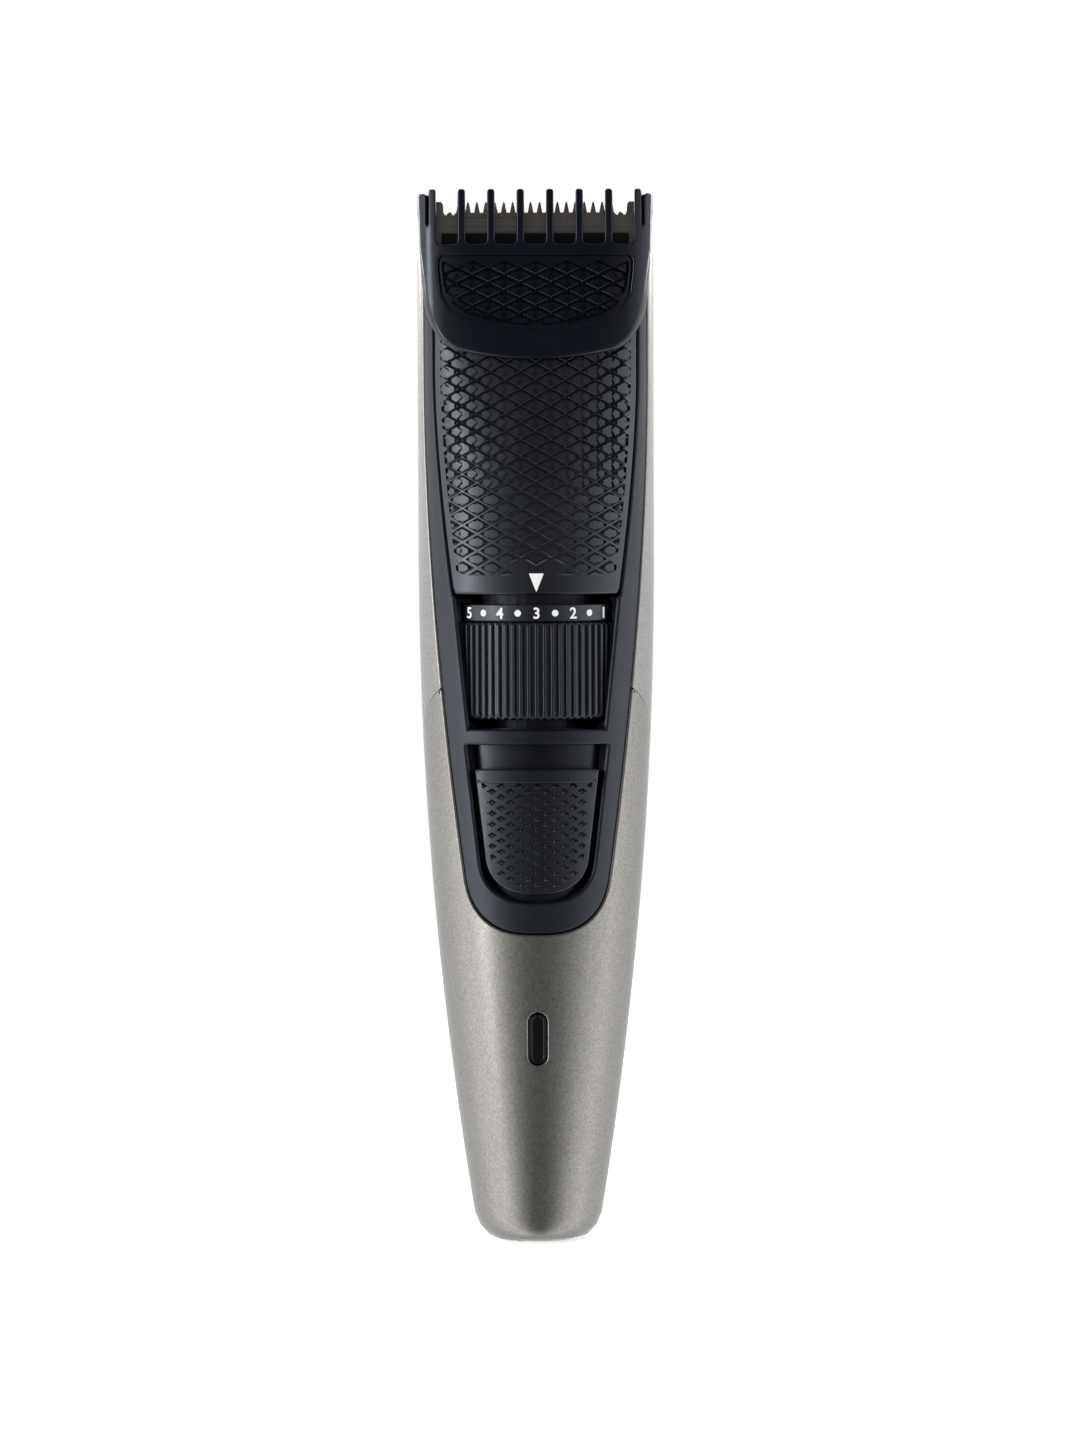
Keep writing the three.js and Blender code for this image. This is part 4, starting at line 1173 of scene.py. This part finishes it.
def guide_comb():
    plate = CombChart(COMB_INSET)
    right = comb_side() + comb_top()
    outer = right + [(-x, z) for x, z in reversed(right[1:])]
    outer = densify(turned(tidy(outer, 0.01), True), 0.9)
    edge = lambda x, z: 0.8 - 0.55 * clamp01((z - 151) / 5)
    made = Build()
    sheet(made, plate, outer, [densify(comb_recess(), 0.8)], edge, comb_wall, 0.9, hole_edge=0.35)
    floor = CombChart(COMB_FLOOR_INSET)
    front_sheet(made, floor, 0.9, comb_recess(0.3), [], 0.05, 0.9, 1.0)
    field = turned([tuple(p) for p in comb_recess(-0.6)], True)
    diamonds = lattice(field, 4.9, 2.42, lambda z: (4.8, 2.36), 1.3)
    studs(made, floor, diamonds, 0.42, 0.26, 0.08)
    mark = [(-0.4, 155.55), (0.4, 155.55), (0, 156.15)]
    studs(made, plate, [mark], 0.08, 0.04, 0.02)
    for k in range(8):
        comb_tooth(made, (k - 3.5) * COMB_PITCH)
    for side in (-1, 1):
        comb_arm(made, side)
    piece(made, "guide_comb_moulded", "comb_gloss", "comb", "guide_comb")


def comb_tooth(build, x):
    """The fin behind one tooth, which gives it its depth."""
    back = -8.95 if abs(x) > 15.4 else -9.95
    face = lambda z: float(front_y(x, z, COMB_INSET, COMB_FLATNESS)) + 0.25
    front = [(face(z), z) for z in np.linspace(155.6, COMB_TOP - 1.4, 10)]
    nose = front[-1][0]
    tip = [(nose + 0.25, COMB_TOP - 0.4), (nose + 0.8, COMB_TOP - 0.06), (back - 0.3, COMB_TOP - 0.25)]
    rest = [(back, COMB_TOP - 1.2), (back, 156.4), (back - 1.35, 156.4), (back - 1.4, 155.6)]
    half = COMB_TOOTH_WIDTH / 2 - 0.06
    slab(build, front + tip + rest, x - half, x + half, 0.18, across, 3)


def comb_arm(build, side):
    """The ear outside the head, and the leg that reaches down to the carriage."""
    ear_bottom = 158.4

    def on_ear(a, b, h):
        rise = clamp01((b - ear_bottom) / 3.6)
        return (side * (16.7 + (h - 16.7) * (0.7 + 0.3 * math.sin(rise * math.pi / 2))), a, b)

    ear = [(-9.4, ear_bottom), (0.6, ear_bottom), (0.6, 162.9), (-1.2, 164.4), (-9.4, 164.4)]
    slab(build, densify(rounded(ear, [0.6, 0.8, 1.4, 1.4, 0.5]), 0.9), 16.7, 18.4, 0.35, on_ear)
    bar = rounded(box_loop(-3.4, 0.6, 158.8, 160.4), 0.35)
    slab(build, densify(bar, 0.8), *sorted((side * 13.0, side * 17.6)), 0.3, across)
    leg = rounded(box_loop(-3.4, 0.6, 132.0, 160.4), 0.4)
    slab(build, densify(leg, 1.5), *sorted((side * 13.0, side * 14.8)), 0.35, across)


# ---- Stage ----


def floor():
    mesh = bpy.data.meshes.new("floor")
    mesh.from_pydata([(x, y, 0) for x, y in circle(6, 0, 96)], [], [tuple(range(96))])
    made = bpy.data.objects.new("floor", mesh)
    white = Material("floor_white")
    white.finish({
        "Roughness": 0.9,
        "Specular IOR Level": 0.1,
        "Emission Strength": 0.6,
        "Emission Color": (1, 1, 1, 1),
        "Base Color": white.ramp(white.noise(2), [(0.3, (0.9, 0.9, 0.9)), (0.7, (0.92, 0.92, 0.92))]),
    })
    mesh.materials.append(white.made)
    bpy.context.collection.objects.link(made)
    made.visible_diffuse = False
    made.visible_glossy = False


def world():
    """A light tent: white behind the object, and in front a darker middle between two bright sides."""
    made = bpy.data.worlds.new("studio")
    made.use_nodes = True
    bpy.context.scene.world = made
    tree = Tree(made.node_tree)
    way = tree.add("SeparateXYZ", "X", {"Vector": tree.add("TexCoord", "Generated")}).node.outputs

    def maths(operation, a, b):
        return tree.add("Math", "Value", {0: a, 1: b}, operation=operation)

    # levels of light by the angle round the object; 0 is in front and 90 is on the +X side
    levels = {
        -180: 1.0, -145: 0.95, -112: 1.3, -85: 2.0, -60: 1.9, -42: 1.15, -22: 0.33, 0: 0.1,
        22: 0.3, 42: 0.8, 60: 1.45, 85: 1.9, 112: 1.3, 145: 0.9, 180: 1.0,
    }
    top = max(levels.values())
    stops = [(0.5 + degrees / 360, (level / top,) * 3) for degrees, level in levels.items()]
    turn = maths("ARCTAN2", way["X"], maths("MULTIPLY", way["Y"], -1.0))
    around = tree.ramp(maths("ADD", maths("DIVIDE", turn, 2 * math.pi), 0.5), stops, "EASE")
    overhead = tree.spread(way["Z"], (0.12, 0.65), (1.0, 0.3))
    lit = tree.add("Mix", 2, {"Factor": 1.0, 6: around, 7: overhead}, data_type="RGBA", blend_type="MULTIPLY")
    seen = tree.add("LightPath", "Is Camera Ray")
    backdrop = (1 / top, 1 / top, 1 / top, 1)
    back = tree.nodes["Background"].inputs
    tree.feed(back["Color"], tree.add("Mix", 2, {"Factor": seen, 6: lit, 7: backdrop}, data_type="RGBA"))
    tree.feed(back["Strength"], top)


def strip_light(name, place, size, power):
    data = bpy.data.lights.new(name, "AREA")
    data.shape = "RECTANGLE"
    data.size, data.size_y = size
    data.energy = power
    made = bpy.data.objects.new(name, data)
    made.location = place
    aim = Vector((0, 0, 0.09)) - Vector(place)
    made.rotation_euler = aim.to_track_quat("-Z", "Y").to_euler()
    bpy.context.collection.objects.link(made)


def camera():
    data = bpy.data.cameras.new("camera")
    made = bpy.data.objects.new("camera", data)
    elevation = math.radians(2)
    roll = math.radians(-0.2)
    distance, view_height = 1.3, 0.2264
    aim = Vector((0.0005, -0.006, 0.0820))
    data.sensor_width = 36
    data.lens = data.sensor_width * distance / view_height
    made.location = aim + distance * Vector((0, -math.cos(elevation), math.sin(elevation)))
    facing = (aim - made.location).to_track_quat("-Z", "Y")
    made.rotation_euler = (facing @ Quaternion((0, 0, 1), roll)).to_euler()
    data.clip_start, data.clip_end = 0.05, 50
    bpy.context.collection.objects.link(made)
    bpy.context.scene.camera = made


# ---- Everything ----

camera()
world()
floor()
strip_light("left_softbox", (-0.55, -0.36, 0.2), (0.15, 0.5), 1.3)
strip_light("left_rim", (-0.4, 0.5, 0.36), (0.3, 0.4), 2.2)
strip_light("right_rim", (0.4, 0.5, 0.36), (0.3, 0.4), 2.2)
bpy.context.scene.view_settings.view_transform = "Standard"

dress_cad_nodes()
for make in (front_shell, rear_shell, base_cap, charge_socket, front_frame, grip_panel, pointer_mark):
    make()
for make in (switch_tray, indicator_lens, power_slider, length_wheel, scale_ring, scale_marks):
    make()
toothed_blade("fixed_blade", "fixed_blade_toothed", "housing", 12.9, 14.4, 0, 1.8, 0.46)
toothed_blade("moving_blade", "moving_blade_toothed", "cutter", 12.0, 12.9, 1.3, 0.8, 0.4)
blade_carrier()
head_cover()
guide_comb()
